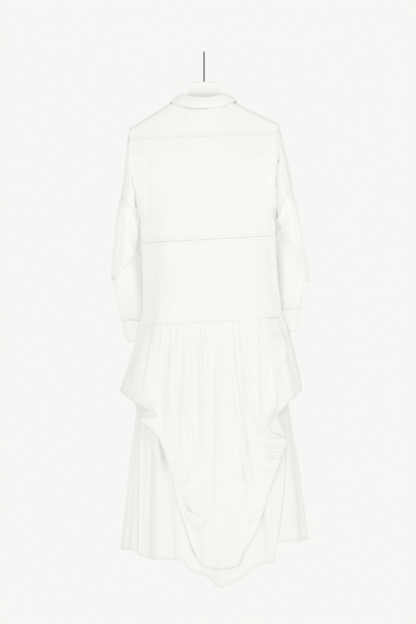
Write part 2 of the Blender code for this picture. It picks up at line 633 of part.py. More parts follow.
def underskirt_point(place, level):
    """A point of the underskirt; level runs from 0 at the hip seam, in metres of drop."""
    shape = place.shape
    seam, at_back, c = hip_seam_round(place.ravel())
    seam[:, 0] *= 1 - UNDER_INSIDE / BODICE["right"][-1]
    seam[:, 1] *= 1 - UNDER_INSIDE / BODICE["back"][-1]
    top = -seam[:, 2]
    drop = top + level.ravel()
    face = np.where(at_back, BACK, FRONT)
    x, y = level_ring(UNDERSKIRT, face, c, drop)
    start_x, start_y = level_ring(UNDERSKIRT, face, c, top)
    fade = np.exp(-level.ravel() / TOP_FADE)
    x += (seam[:, 0] - start_x) * fade
    y = face * (y + (np.abs(seam[:, 1]) - start_y) * fade)
    reach = np.clip(level.ravel() / (UNDER_COMMON - HIP_DROP), 0, 1.2)
    lift = 0 * x
    for i in range(len(UNDER_FOLDS["order"])):
        middle = UNDER_FOLDS["top"][i] + (UNDER_FOLDS["hem"][i] - UNDER_FOLDS["top"][i]) * reach
        away = (np.mod(place.ravel() - middle + 2, 4) - 2) / UNDER_FOLDS["width"][i]
        lift += UNDER_FOLDS["height"][i] * np.exp(-away ** 2) * reach
    size = np.hypot(x, y)
    x, y = x * (1 + lift / size), y * (1 + lift / size)
    return np.stack([x, y, -drop], axis=1).reshape(*shape, 3)


def underskirt_panel(name, first_seam, last_seam, hem, columns, cloth):
    """A panel between two of the side seams, whose places shift with the drop."""
    turn = 4 if last_seam == "left" else 0
    share = np.linspace(0, 1, columns)[None]
    levels = np.array(UNDER_LEVELS)[:, None] * (UNDER_COMMON - HIP_DROP)
    hem_drop = read(hem, "drop", share)
    level = np.broadcast_to(levels, (len(levels), columns))
    for _ in range(4):
        first = read(UNDER_SEAMS, first_seam, HIP_DROP + level)
        last = read(UNDER_SEAMS, last_seam, HIP_DROP + level) + turn
        place = first + (last - first) * share
        top_drop = -hip_seam_round(place[-1])[0][:, 2]
        end = np.broadcast_to(hem_drop - top_drop, (1, columns))
        level = np.concatenate([np.broadcast_to(levels, (len(levels), columns)), end])
    sheet(name, underskirt_point(place, level), cloth)


# The overskirt's back by shares of its width, from the left side: where its hem hangs. "swell" is
# how soon it stands away from the body. The hem doubles back on itself at both sides.
OVER_BACK_HEM = table(
    "share  x       y      drop    swell fold_x fold_y",
    (0.000, 0.242, 0.0006, 0.969, 2, 0, 0),
    (0.025, 0.237, 0.036, 0.973, 2, 0, 0),
    (0.050, 0.223, 0.068, 0.983, 2.2, 0, 0),
    (0.075, 0.205, 0.090, 0.997, 2.5, 0, 0.004),
    (0.100, 0.187, 0.102, 1.016, 3, -0.017, 0.025),
    (0.125, 0.171, 0.107, 1.037, 3, -0.037, 0.036),
    (0.175, 0.150, 0.110, 1.052, 2, 0.032, -0.016),
    (0.225, 0.1254, 0.108, 1.109, 2, 0, 0),
    (0.250, 0.106, 0.114, 1.165, 2, 0, 0),
    (0.275, 0.084, 0.122, 1.235, 2, 0, 0),
    (0.300, 0.080, 0.1245, 1.265, 2, 0, 0),
    (0.350, 0.055, 0.1275, 1.345, 2, 0, 0),
    (0.375, 0.031, 0.1285, 1.416, 2, 0, 0),
    (0.425, -0.003, 0.1330, 1.465, 2, 0, 0),
    (0.500, -0.045, 0.1350, 1.470, 2, 0, 0),
    (0.600, -0.091, 0.1310, 1.465, 2, 0, 0),
    (0.650, -0.116, 0.1285, 1.420, 2, 0, 0),
    (0.675, -0.148, 0.1265, 1.371, 2, 0, 0),
    (0.725, -0.178, 0.1195, 1.272, 2, -0.002, 0),
    (0.775, -0.198, 0.1110, 1.180, 2, -0.014, -0.008),
    (0.825, -0.213, 0.106, 1.1115, 2, -0.0236, -0.024),
    (0.875, -0.226, 0.108, 1.066, 3, 0.044, 0.035),
    (0.900, -0.234, 0.103, 1.034, 3, 0.026, 0.025),
    (0.925, -0.244, 0.092, 1.008, 2.5, 0.010, 0.012),
    (0.975, -0.272, 0.040, 0.974, 2, 0, 0),
    (1.000, -0.282, 0.0006, 0.966, 2, 0, 0))
OVER_FRONT_HEM = table(
    "share x      y      drop    swell fold_x fold_y",
    (0.00, 0.242, -0.0006, 0.969, 2, 0, 0),
    (0.08, 0.232, -0.050, 0.985, 2, 0, 0),
    (0.20, 0.165, -0.112, 1.040, 2, 0, 0),
    (0.50, -0.010, -0.150, 1.100, 2, 0, 0),
    (0.80, -0.200, -0.116, 1.040, 2, 0, 0),
    (0.92, -0.270, -0.050, 0.985, 2, 0, 0),
    (1.00, -0.282, -0.0006, 0.966, 2, 0, 0))
FOLD_RISE = 3.5         # how soon the caught-up folds fade, from the hem upwards
SPREAD_LEFT, SPREAD_RIGHT = 1.2, 0.7   # how late the overskirt's two outlines spread
GATHER_HEIGHT = 0.005
GATHER_START = 0.015    # the gathers open out over this drop
OVER_ROWS = (0, 0.02, 0.07, 0.16, 0.30, 0.45, 0.60, 0.75, 0.89, 1.0)
OVER_BACK_COLUMNS, OVER_FRONT_COLUMNS = 41, 21
OVER_BACK_GATHERS, OVER_FRONT_GATHERS = 10, 5


def overskirt_sheet(face, hem, gathers, columns, rows):
    """Middle surface of an overskirt panel, from the hip seam to its hem."""
    share, down = np.meshgrid(np.linspace(0, 1, columns), rows)
    seam = hip_seam(face, 1 - 2 * share[0])[None]
    end = np.stack([read(hem, "x", share), read(hem, "y", share), -read(hem, "drop", share)], axis=2)
    spread = down ** (SPREAD_LEFT + (SPREAD_RIGHT - SPREAD_LEFT) * share)
    swell = 1 - (1 - down) ** read(hem, "swell", share)
    caught = down ** FOLD_RISE
    x = seam[..., 0] + (end[..., 0] - seam[..., 0]) * spread + read(hem, "fold_x", share) * caught
    y = seam[..., 1] + (end[..., 1] - seam[..., 1]) * swell + read(hem, "fold_y", share) * caught
    z = seam[..., 2] + (end[..., 2] - seam[..., 2]) * down
    wave = (1 - np.cos(2 * np.pi * gathers * share)) / 2
    open_out = 1 - np.exp(-(seam[..., 2] - z) / GATHER_START)
    side = np.sin(np.pi * share) ** 0.5
    y += face * GATHER_HEIGHT * wave * open_out * side
    return np.stack([x, y, z], axis=2)


def skirt_pieces(cloth):
    back = overskirt_sheet(BACK, OVER_BACK_HEM, OVER_BACK_GATHERS, OVER_BACK_COLUMNS, OVER_ROWS)
    sheet("overskirt_back", back, cloth)
    front = overskirt_sheet(FRONT, OVER_FRONT_HEM, OVER_FRONT_GATHERS, OVER_FRONT_COLUMNS, OVER_ROWS)
    sheet("overskirt_front", front, cloth)
    underskirt_panel("underskirt_back", "left", "right", UNDER_BACK_HEM, UNDER_BACK_COLUMNS, cloth)
    underskirt_panel("underskirt_front", "right", "left", UNDER_FRONT_HEM, UNDER_FRONT_COLUMNS, cloth)


# ---------------------------------------------------------------- hanger and hook

HANGER_CLEAR = 0.0013   # below the cloth's shoulder line
HANGER_THICK, HANGER_EDGE = 0.012, 0.004
TIP_RADIUS = 0.010
TIP_ANGLES = (40, 10, -20, -50, -80, -110)
NECK_PROFILE = table(
    "x      drop",
    (0.034, 0.083),
    (0.036, 0.090),
    (0.042, 0.105),
    (0.048, 0.118),
    (0.0545, 0.1295))
UNDERSIDE = table(
    "x     drop_left drop_right",
    (0.000, 0.152, 0.152),
    (0.050, 0.157, 0.156),
    (0.100, 0.178, 0.176),
    (0.150, 0.205, 0.198))

WIRE_RADIUS = 0.002
HOOK_RADIUS = 0.019     # inside of the hook's round
HOOK_START, HOOK_END = 235, 5       # degrees of the round, from the wearer's back over the top
SHANK_BEND_DROP = 0.062
SOCKET_DEPTH, SHANK_DEPTH = 0.016, 0.015
SOCKET_RADIUS = WIRE_RADIUS + 0.0003


def hanger_outline():
    """Outline of the hanger in its own plane, from the left neck round to the right neck."""
    outline = []
    for side, word in ((LEFT_SIDE, "left"), (RIGHT_SIDE, "right")):
        top_x, top_drop = SHOULDER[word][1:-3], SHOULDER[word + "_drop"][1:-3] + HANGER_CLEAR
        half = [(side * x, drop) for x, drop in zip(NECK_PROFILE["x"], NECK_PROFILE["drop"])]
        half += [(side * x, drop) for x, drop in zip(top_x, top_drop)]
        tip_x, tip_drop = top_x[-1] - TIP_RADIUS / 2, top_drop[-1] + TIP_RADIUS
        for angle in np.radians(TIP_ANGLES):
            half.append((side * (tip_x + TIP_RADIUS * math.cos(angle)),
                         tip_drop - TIP_RADIUS * math.sin(angle)))
        for x, drop in list(zip(UNDERSIDE["x"], UNDERSIDE["drop_" + word]))[:0:-1]:
            half.append((side * x, drop))
        outline.append(half)
    left, right = outline
    return left + [(0, UNDERSIDE["drop_left"][0])] + right[::-1]


def as_mesh(name, curve, material):
    """A curve object made a mesh object with its caps welded, so that it can be cut."""
    thing = bpy.data.objects.new(name, curve)
    collection.objects.link(thing)
    evaluated = thing.evaluated_get(bpy.context.evaluated_depsgraph_get())
    data = bpy.data.meshes.new_from_object(evaluated)
    bpy.data.objects.remove(thing)
    mesh = bmesh.new()
    mesh.from_mesh(data)
    bmesh.ops.remove_doubles(mesh, verts=mesh.verts, dist=0.00001)
    mesh.to_mesh(data)
    mesh.free()
    data.materials.clear()
    return add_object(name, data, material)


def hanger_pieces(plastic, steel, cutters):
    curve = bpy.data.curves.new("hanger_outline", "CURVE")
    curve.dimensions = "2D"
    curve.fill_mode = "BOTH"
    curve.extrude = HANGER_THICK / 2 - HANGER_EDGE
    curve.bevel_depth = HANGER_EDGE
    curve.bevel_resolution = 1
    curve.offset = -HANGER_EDGE
    outline = hanger_outline()
    spline = curve.splines.new("POLY")
    spline.points.add(len(outline) - 1)
    spline.use_cyclic_u = True
    for point, (x, drop) in zip(spline.points, outline):
        point.co = (x, -drop, 0, 1)
    body = as_mesh("hanger_body", curve, plastic)
    body.data.transform(Matrix.Rotation(math.pi / 2, 4, "X"))

    neck_drop = NECK_PROFILE["drop"][0]
    bpy.ops.mesh.primitive_cylinder_add(vertices=16, radius=SOCKET_RADIUS, depth=2 * SOCKET_DEPTH,
                                        location=(0, 0, -neck_drop))
    socket = bpy.context.object
    socket.name = "cutter_socket"
    socket.hide_render = True
    socket.display_type = "WIRE"
    for owner in list(socket.users_collection):
        owner.objects.unlink(socket)
    cutters.objects.link(socket)
    cut = body.modifiers.new("socket", "BOOLEAN")
    cut.object = socket
    cut.operation = "DIFFERENCE"

    # The hook: up out of the socket, an S bend towards the wearer's front, and round over the rail.
    centre = HOOK_RADIUS
    reach = HOOK_RADIUS + WIRE_RADIUS
    turns = np.radians(np.linspace(HOOK_START, HOOK_END, 18))
    round_part = [(reach * math.cos(turn), -centre + reach * math.sin(turn)) for turn in turns]
    first_y, first_z = round_part[0]
    bend = []
    for share in (0, 0.25, 0.5, 0.75):
        ease = share * share * (3 - 2 * share)
        bend.append((first_y * ease, -SHANK_BEND_DROP + (first_z + SHANK_BEND_DROP) * share))
    wire = [(0, -neck_drop - SHANK_DEPTH), (0, -neck_drop)] + bend + round_part
    curve = bpy.data.curves.new("hook_wire", "CURVE")
    curve.dimensions = "3D"
    curve.bevel_depth = WIRE_RADIUS
    curve.bevel_resolution = 2
    curve.use_fill_caps = True
    spline = curve.splines.new("POLY")
    spline.points.add(len(wire) - 1)
    for point, (y, z) in zip(spline.points, wire):
        point.co = (0, y, z, 1)
    as_mesh("hanger_hook", curve, steel)


def build():
    global collection
    for thing in list(bpy.data.objects):
        bpy.data.objects.remove(thing)
    collection = bpy.data.collections.new("shirt_dress")
    bpy.context.scene.collection.children.link(collection)
    cutters = bpy.data.collections.new("cutters")
    bpy.context.scene.collection.children.link(cutters)
    cloth = new_material("white_poplin", (0.86, 0.86, 0.84), 0.85)
    plastic = new_material("white_button", (0.82, 0.82, 0.80), 0.35)
    back_pieces(cloth)
    front_pieces(cloth, plastic)
    sleeve_pieces(cloth, plastic)
    collar_pieces(cloth, plastic)
    skirt_pieces(cloth)
    hanger = new_material("white_hanger", (0.80, 0.80, 0.79), 0.4)
    steel = new_material("dark_steel", (0.10, 0.10, 0.11), 0.35, 1.0)
    hanger_pieces(hanger, steel, cutters)


build()
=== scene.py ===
# %% [markdown]
# # A cotton shirt dress on its hanger
# The real thing is a long dress of white poplin, hung by its shoulders on a flat hanger. A boxy shirt
# bodice with dropped shoulders carries two skirts: a gathered overskirt, caught up at both sides, and
# a plain underskirt with a pointed hem. All of it is thin cloth, so all of it is made as thin sheets.
# The loaded model holds the plain solids that give every place and size. Each is replaced here by a
# fine sheet that has the folds, seams and stitches of the real piece.

import bpy
import numpy as np
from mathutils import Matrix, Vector


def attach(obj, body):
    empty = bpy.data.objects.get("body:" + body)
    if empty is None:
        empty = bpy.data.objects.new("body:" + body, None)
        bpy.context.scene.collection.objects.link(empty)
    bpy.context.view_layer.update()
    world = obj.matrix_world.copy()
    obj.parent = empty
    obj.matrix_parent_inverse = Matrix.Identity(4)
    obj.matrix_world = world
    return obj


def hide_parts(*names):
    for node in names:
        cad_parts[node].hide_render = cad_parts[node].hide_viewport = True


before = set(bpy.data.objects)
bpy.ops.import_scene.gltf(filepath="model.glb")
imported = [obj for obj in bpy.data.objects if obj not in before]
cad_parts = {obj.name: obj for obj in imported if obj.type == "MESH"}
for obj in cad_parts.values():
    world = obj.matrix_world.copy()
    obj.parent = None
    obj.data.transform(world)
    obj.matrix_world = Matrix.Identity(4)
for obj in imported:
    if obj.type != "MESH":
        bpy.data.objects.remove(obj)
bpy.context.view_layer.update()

# %% [markdown]
# ## Short tables and smooth curves
# A pattern maker measures a garment at a few levels and draws smooth lines between them. This does
# the same: a table has one row a level, and `read` draws a smooth curve through a column. The curve
# never swings past its points, so a row can be changed without a bulge appearing elsewhere. Tables
# hold millimetres, and all else is in metres: +X is the wearer's left, +Y the wearer's back, and
# "drop" is the distance below the place where the hook rests on its rail.

# %% Tables and curves
RIGHT_SIDE, LEFT_SIDE = -1, 1
BACK, FRONT = 1, -1


def table(names, *rows, plain=""):
    """Rows as named columns. They hold millimetres, apart from the columns named in plain."""
    names = names.split()
    unit = [1.0 if name in plain.split() else 0.001 for name in names]
    return dict(zip(names, (np.array(rows, float) * unit).T))


def read(rows, column, at):
    """Cubic through a column. Its slope at a row is the harmonic mean of the slopes on either side."""
    key, value = rows[next(iter(rows))], rows[column]
    step = np.diff(key)
    slope = np.diff(value) / step
    same_way = slope[:-1] * slope[1:] > 0
    both = np.where(same_way, slope[:-1] + slope[1:], 1.0)
    bend = np.where(same_way, 2 * slope[:-1] * slope[1:] / both, 0.0)
    tangent = np.concatenate([slope[:1], bend, slope[-1:]])
    i = np.clip(np.searchsorted(key, at) - 1, 0, len(step) - 1)
    t = np.clip((at - key[i]) / step[i], 0, 1)
    return (value[i] * (1 + 2 * t) * (1 - t) ** 2 + value[i + 1] * t * t * (3 - 2 * t)
            + step[i] * t * (1 - t) * (tangent[i] * (1 - t) - tangent[i + 1] * t))


def by_side(rows, name, c, at):
    """The left or the right column of a table, by the sign of c."""
    return np.where(c >= 0, read(rows, "left" + name, at), read(rows, "right" + name, at))


def smooth(t):
    """Ease from 0 to 1: three t squared minus two t cubed, held at its ends."""
    t = np.clip(t, 0, 1)
    return t * t * (3 - 2 * t)


def bell(t):
    """A bump: 1 at nothing, and e to the minus t squared beside it."""
    return np.exp(-t ** 2)


def eased(count, low, high, finer=0.6):
    """Numbers from low to high, closer together at both ends: t minus a sine wave of t."""
    t = np.linspace(0, 1, count)
    return low + (high - low) * (t - finer * np.sin(2 * np.pi * t) / (2 * np.pi))


# %% [markdown]
# ## Folds, ripples and seams as heights
# Cloth could be left to a simulation, but a simulation doesn't put a fold where the real one has it.
# Here a fold is a height above the sheet: a curve through three places, a bell across it, and soft
# ends. A steep and a wide flank make a fold that leans. Ripples add the small unevenness that no
# two folds share, and a seam is a doubled strip of cloth beside a stitched dip.

# %% Folds, ripples and seams
FOLD = "first middle last at_first at_middle at_last height over under fade_in fade_out"
FADES = "fade_in fade_out"
ALL_BUT_HEIGHT = FOLD.replace(" height", "")
BELL_POWER = 1.7
NET, NET_MIDDLE = 96, 40.5          # squares of the ripples' net each way, and the place of its origin
SEAM_STEP, STITCH_DIP = 0.0016, 0.0020
PUCKER_SIZE, PUCKER_REACH, PUCKER_HEIGHT = 0.007, 0.006, 0.0005
HEM_WIDTH, HEM_STITCH, HEM_DIP, HEM_LIFT = 0.009, 0.008, 0.0016, 0.0006
HEM_PUCKER_SIZE, HEM_PUCKER_REACH, HEM_SEED = 0.010, 0.012, 5


def folds(along, across, rows):
    """Sum of folds. Each path is the parabola through its three places. Its height falls off across
    it as exp(-(distance / width) ** power), and eases in and out over shares of its length."""
    height = np.zeros(np.broadcast(along, across).shape)
    for fold in zip(*(rows[name] for name in FOLD.split())):
        first, middle, last, at_first, at_middle, at_last, tall, over, under, fade_in, fade_out = fold
        t = np.clip((along - first) / (last - first), -0.2, 1.2)
        m = (middle - first) / (last - first)
        path = (at_first * (t - m) * (t - 1) / m + at_middle * t * (t - 1) / (m * (m - 1))
                + at_last * t * (t - m) / (1 - m))
        away = across - path
        width = np.where(away > 0, over, under)
        ends = smooth(t / fade_in) * smooth((1 - t) / fade_out)
        height += tall * ends * np.exp(-(np.abs(away) / width) ** BELL_POWER)
    return height


def between(net, i, j, s, t):
    """Heights in the squares i, j of a net: those of a square's corners, blended by shares s and t."""
    return (net[i, j] * (1 - s) * (1 - t) + net[i + 1, j] * s * (1 - t)
            + net[i, j + 1] * (1 - s) * t + net[i + 1, j + 1] * s * t)


def ripples(across, down, size, seed):
    """Smooth random heights from -1 to 1: a random number at each corner of a square net, eased from
    corner to corner."""
    net = np.random.default_rng(seed).uniform(-1, 1, (NET + 1, NET + 1))
    u, v = across / size + NET_MIDDLE, down / size + NET_MIDDLE
    i, j = np.floor(u).astype(int), np.floor(v).astype(int)
    return between(net, i % NET, j % NET, smooth(u - i), smooth(v - j))


def seam_height(off, along, lift=0.0008, width=0.008, seed=3):
    """Height beside a felled seam, for the distance off it. The cloth is doubled on the negative side
    and stands up there by lift. It dips along the seam line, and puckers close to it."""
    doubled = smooth(off / width + 1.5) * smooth(-off / SEAM_STEP)
    pucker = ripples(along, 0 * along, PUCKER_SIZE, seed) * np.exp(-np.abs(off) / PUCKER_REACH)
    return lift * (doubled - bell(off / STITCH_DIP)) + PUCKER_HEIGHT * pucker


def hem_height(off, along):
    """Height of a narrow turned hem, for the distance from the edge: doubled, dipped at its stitches."""
    doubled = smooth(1.5 - off / HEM_WIDTH)
    pucker = ripples(along, 0 * along, HEM_PUCKER_SIZE, HEM_SEED) * np.exp(-off / HEM_PUCKER_REACH)
    return HEM_LIFT * (doubled - bell((off - HEM_STITCH) / HEM_DIP) + pucker)


# %% [markdown]
# ## The bodice's form
# On its hanger the bodice is nearly flat. Its back and front start on the shoulder line, roll over the
# hanger, and hang down to level rings that grow deeper towards the hip. Beyond the side each ring goes
# on round the top of the arm, because the shoulders are dropped and cut in one with the body.
# Column c is 0 at the centre, 1 in the fold between body and arm, and 2 on top of the arm. Row k is 0
# on the shoulder line, 1 at the yoke seam, 2 at the underarm, 3 at the waist seam and 4 at the hip.
# A sleeve's rings slant: a row has the drops of a ring's outer, back, inner and front points.

# %% Tables of the bodice
FLAT_SHARE, NECK_SHARE = 0.5, 0.36
ARM_START, ARM_END = 1.05, 2.0
FOLD_WIDTH = 0.006
ROLL_ROW, ROLL_RADIUS, ROLL_START, ROLL_END = 0.4, 0.011, 0.18, 0.40
HANG_POWER, NECK_HELD = 0.8, 0.012
YOKE_COLUMN = ARM_END - (ARM_END - ARM_START) / 4
NECK_SHIFT, NECK_HALF = 0.004, 0.066
NECK_BACK, NECK_FRONT = 0.034, 0.070
NECK_BACK_DROP, NECK_FRONT_DROP = 0.165, 0.215
YOKE_DROP, YOKE_SLANT = 0.2425, 0.04
UNDERARM_LEFT_DROP, UNDERARM_RIGHT_DROP = 0.475, 0.479
WAIST_DROP, HIP_DROP, SEAM_SLANT = 0.537, 0.772, 0.054

SHOULDER = table(
    "column left right left_drop right_drop",
    (0.36, 70, 62, 131, 129),
    (0.5, 105, 100, 151, 149),
    (0.61, 140, 137, 173, 168),
    (0.72, 168, 166, 190, 182),
    (0.81, 186, 185, 201.5, 191.5),
    (0.89, 197, 197, 208.5, 197),
    (1, 205, 205, 213.5, 201),
    (1.05, 207, 207, 214.8, 202),
    (2, 214, 214, 219, 205), plain="column")
BODICE = table(
    "drop left right corner floor left_arm right_arm arm_depth back front",
    (300, 211, 210, 90, 30, 223.5, 236, 38, 45, 55),
    (353, 202, 202.5, 90, 32, 229.5, 248, 43, 49, 58),
    (396, 194, 203, 90, 27, 236.5, 256, 46, 53, 60),
    (425, 191.5, 204, 90, 18, 242, 262, 48, 56, 62),
    (475, 188, 205, 90, 1.6, 247, 271, 50, 60, 64),
    (500, 185, 205, 90, 0.7, 247, 271, 50, 62, 65),
    (545, 182, 206, 90, 0.7, 247, 271, 50, 65, 67),
    (650, 177, 212, 90, 0.7, 247, 271, 50, 70, 70),
    (710, 177, 219.5, 90, 0.7, 247, 271, 50, 74, 74),
    (790, 186, 230, 90, 0.7, 247, 271, 50, 79, 78))
RING_START = BODICE["drop"][0]

# %% Tables of the sleeves and cuffs
SLEEVE_NAMES = "ring o_drop b_drop i_drop f_drop outer inner y_mid back front"
SLEEVE_LEFT = table(
    SLEEVE_NAMES,
    (0, 425, 430, 475, 430, 242, 194, 0, 48, 48),
    (1, 470, 470, 487, 472, 250, 192.5, -5, 48, 51),
    (2, 530, 515, 505, 525, 257, 185, -19, 49, 50),
    (3, 595, 563, 525, 578, 263, 180, -30, 50, 48),
    (4, 638, 597, 538, 612, 266.5, 180, -32, 48, 46),
    (5, 652, 608, 545, 622, 267, 180, -32, 46, 44),
    (6, 641, 596, 553, 632, 260, 180, -32, 26, 38),
    (7, 673, 640, 600, 660, 258, 168, -40, 24, 34),
    (8, 720, 700, 680, 708, 248, 158, -54, 24, 32),
    (9, 767, 767, 767, 767, 238, 152, -72, 24, 30), plain="ring")
SLEEVE_RIGHT = table(
    SLEEVE_NAMES,
    (0, 382, 410, 479, 410, 253.7, 211, 0, 46, 46),
    (1, 445, 442, 487, 445, 266, 209.5, -5, 48, 50),
    (2, 515, 480, 493, 490, 279, 205.5, -18, 49, 50),
    (3, 590, 515, 498, 540, 292, 203, -30, 50, 48),
    (4, 640, 535, 503, 585, 300, 203, -32, 48, 46),
    (5, 654, 545, 509, 600, 302, 203, -32, 46, 44),
    (6, 642, 533, 517, 610, 294, 202, -32, 26, 38),
    (7, 665, 605, 585, 640, 284, 194, -40, 24, 34),
    (8, 700, 680, 665, 690, 280, 192, -54, 24, 32),
    (9, 735, 735, 735, 735, 276.5, 190, -70, 24, 30), plain="ring")
CUFF_LEFT = table(
    SLEEVE_NAMES,
    (0, 767, 767, 767, 767, 238, 152, -72, 24, 30),
    (1, 798, 798, 798, 798, 232, 149, -83, 24, 27),
    (2, 829, 829, 829, 829, 225, 146, -94, 24, 25), plain="ring")
CUFF_RIGHT = table(
    SLEEVE_NAMES,
    (0, 735, 735, 735, 735, 276.5, 190, -70, 24, 30),
    (1, 768, 768, 768, 768, 273, 186, -82, 24, 27),
    (2, 801, 801, 801, 801, 268, 182, -94, 24, 25), plain="ring")
print("bodice tables:", len(SHOULDER["column"]), "places on the shoulder,", len(BODICE["drop"]), "rings")

# %% [markdown]
# A bodice ring is flat across the middle and bends back as a parabola to the side, so that back and
# front meet in a fold. Beyond the fold it is half an ellipse over the arm. The underskirt's rings will
# have a quarter ellipse for a side instead. The sheet between the shoulder line and the first ring is
# a straight blend, started with a quarter-circle roll over the hanger, which is how cloth leaves a
# rounded edge. Six rounds settle it, because its seams slant and so its drop depends on its own x.

# %% The bodice as a surface


def level_ring(rows, face, c, drop, round_side=1.0):
    """A ring at one level: straight to the corner, then sine and cosine of a quarter turn. With
    round_side at nothing the corner is a parabola instead."""
    a = np.minimum(np.abs(c), 1)
    corner = read(rows, "corner", drop)
    depth = np.where(face > 0, read(rows, "back", drop), read(rows, "front", drop))
    floor = read(rows, "floor", drop) if "floor" in rows else 0
    u = np.clip((a - FLAT_SHARE) / (1 - FLAT_SHARE), 0, 1)
    out = u + (np.sin(u * np.pi / 2) - u) * round_side
    full = 1 - u ** 2 + (np.cos(u * np.pi / 2) - 1 + u ** 2) * round_side
    flat = np.minimum(a / FLAT_SHARE, 1) * (by_side(rows, "", c, drop) - corner)
    return np.sign(c) * (flat + corner * out), floor + (depth - floor) * full


def arm_angle(c):
    """Angle round the arm: half a turn at the fold, nothing on top of the arm."""
    return np.clip((ARM_END - np.abs(c)) / (ARM_END - ARM_START), 0, 1) * np.pi


def bodice_ring(face, c, drop):
    """The body's ring, with the arm's half ellipse beyond the fold."""
    body_x, body_y = level_ring(BODICE, face, c, drop, 0.0)
    inner = by_side(BODICE, "", c, drop) + FOLD_WIDTH
    outer = by_side(BODICE, "_arm", c, drop)
    floor = read(BODICE, "floor", drop)
    angle = arm_angle(c)
    arm_x = np.sign(c) * ((inner + outer) / 2 + (outer - inner) / 2 * np.cos(angle))
    arm_y = (floor * (1 - np.cos(angle)) / 2
             + (read(BODICE, "arm_depth", drop) - floor / 2) * np.sin(angle))
    arm = np.abs(c) > 1
    return np.where(arm, arm_x, body_x), np.where(arm, arm_y, body_y)


def bodice_top(face, c):
    """Top edge: a parabola round the neck, then the shoulder line out to the tip."""
    a = np.abs(c)
    aside = np.clip(a / NECK_SHARE, 0, 1)
    centre_y, centre_drop, power = ((NECK_BACK, NECK_BACK_DROP, 2) if face > 0
                                    else (NECK_FRONT, NECK_FRONT_DROP, 1.5))
    shoulder_drop = by_side(SHOULDER, "_drop", c, a)
    drop = shoulder_drop + (centre_drop - shoulder_drop) * (1 - aside ** 2) ** power
    neck_x = NECK_SHIFT + np.sign(c) * NECK_HALF * aside
    x = np.where(a <= NECK_SHARE, neck_x, np.sign(c) * by_side(SHOULDER, "", c, a))
    return x, centre_y * (1 - aside ** 2), drop


# %% The bodice's seams and rows


def ring_drop(rows, ring, angle):
    """Drop round a slanted ring: a mean and two waves through its outer, back, inner, front points."""
    o, b, i, f = (read(rows, name, ring) for name in ("o_drop", "b_drop", "i_drop", "f_drop"))
    return ((o + b + i + f) / 4 + (o - i) / 2 * np.cos(angle) + (b - f) / 2 * np.sin(angle)
            + (o + i - b - f) / 4 * np.cos(2 * angle))


def underarm_drop(face, c):
    """Drop of row 2: level under the arms, and the slanted sleeve seam round each arm."""
    across = (np.clip(c, -1, 1) + 1) / 2
    body = UNDERARM_RIGHT_DROP + (UNDERARM_LEFT_DROP - UNDERARM_RIGHT_DROP) * across
    angle = face * arm_angle(c)
    arm = np.where(c > 0, ring_drop(SLEEVE_LEFT, 0, angle), ring_drop(SLEEVE_RIGHT, 0, angle))
    return np.where(np.abs(c) > 1, arm, body)


def yoke_drop(c, x, top, underarm):
    """Drop of the yoke seam, which keeps its share of the way down along the arms."""
    edge_x, edge_top = by_side(SHOULDER, "", c, 1.0), by_side(SHOULDER, "_drop", c, 1.0)
    edge_underarm = np.where(c >= 0, UNDERARM_LEFT_DROP, UNDERARM_RIGHT_DROP)
    share = (YOKE_DROP + YOKE_SLANT * np.sign(c) * edge_x - edge_top) / (edge_underarm - edge_top)
    return np.where(np.abs(c) > 1, top + share * (underarm - top), YOKE_DROP + YOKE_SLANT * x)


def bodice_surface(face, columns, rows, straight=None):
    """Points of the bodice's back or front, with the drops of its five row lines.
    straight gives the place of each column that hangs at a fixed x."""
    c, k = np.meshgrid(columns, rows)
    top_x, top_y, top_drop = bodice_top(face, c)
    underarm = underarm_drop(face, c)
    knots = (0, ROLL_ROW, 1, 2, 3, 4)
    x = top_x
    for _ in range(6):
        lines = (top_drop, top_drop + ROLL_RADIUS, yoke_drop(c, x, top_drop, underarm), underarm,
                 WAIST_DROP + SEAM_SLANT * x, HIP_DROP + SEAM_SLANT * x)
        drop = lines[0].copy()
        for i, (knot, after) in enumerate(zip(knots, knots[1:])):
            drop += np.clip((k - knot) / (after - knot), 0, 1) * (lines[i + 1] - lines[i])
        ring_x, ring_y = bodice_ring(face, c, np.maximum(drop, RING_START))
        if straight is not None:
            ring_x = np.where(np.isnan(straight), ring_x, straight)
            top_x = np.where(np.isnan(straight), top_x, straight)
        share = np.clip((drop - top_drop) / (RING_START - top_drop), 0, 1)
        x = top_x + (ring_x - top_x) * share
    angle = arm_angle(c)
    roll = ROLL_RADIUS * np.where(np.abs(c) > 1, (1 - np.cos(angle)) / 2 + np.sin(angle) / 2, 1)
    rolled = np.sqrt(1 - (1 - np.clip((drop - top_drop) / ROLL_RADIUS, 0, 1)) ** 2)
    over_hanger = roll * rolled + (ring_y - roll) * share ** HANG_POWER
    from_neck = top_y + (ring_y - top_y) * share
    over = smooth((np.abs(c) - ROLL_START) / (ROLL_END - ROLL_START))
    over *= 1 - (1 - rolled) * np.clip(top_y / NECK_HELD, 0, 1)
    y = from_neck + (over_hanger - from_neck) * over
    return np.stack([x, face * y, -drop], axis=2), (lines[0], *lines[2:])


# %% [markdown]
# ## Finishes
# White poplin is a close plain weave with a soft, dry surface. Up close it shows its threads, the
# stitches along its seams, and small crumples that ironing never quite removes. Each of these is a
# node group that puts out a height or a mask, so that every cloth material can share them. The weave
# and the stitches read the piece's own UV map and attributes, in metres, so they follow the cloth
# round every fold. The crumples read Object coordinates.

# %% Node groups
THREAD_PITCH = 0.0006
STITCH_LENGTH, STITCH_SHARE, STITCH_HALF_WIDTH = 0.0024, 0.78, 0.00030
FIRST_ROW, SECOND_ROW, NO_ROW = 0.0015, 0.008, 0.5
CREASES = ((0.55, 26.0, 3.0), (1.4, 75.0, 2.0))     # stretch down the cloth, scale and detail
CREASE_ROUGHNESS = 0.55


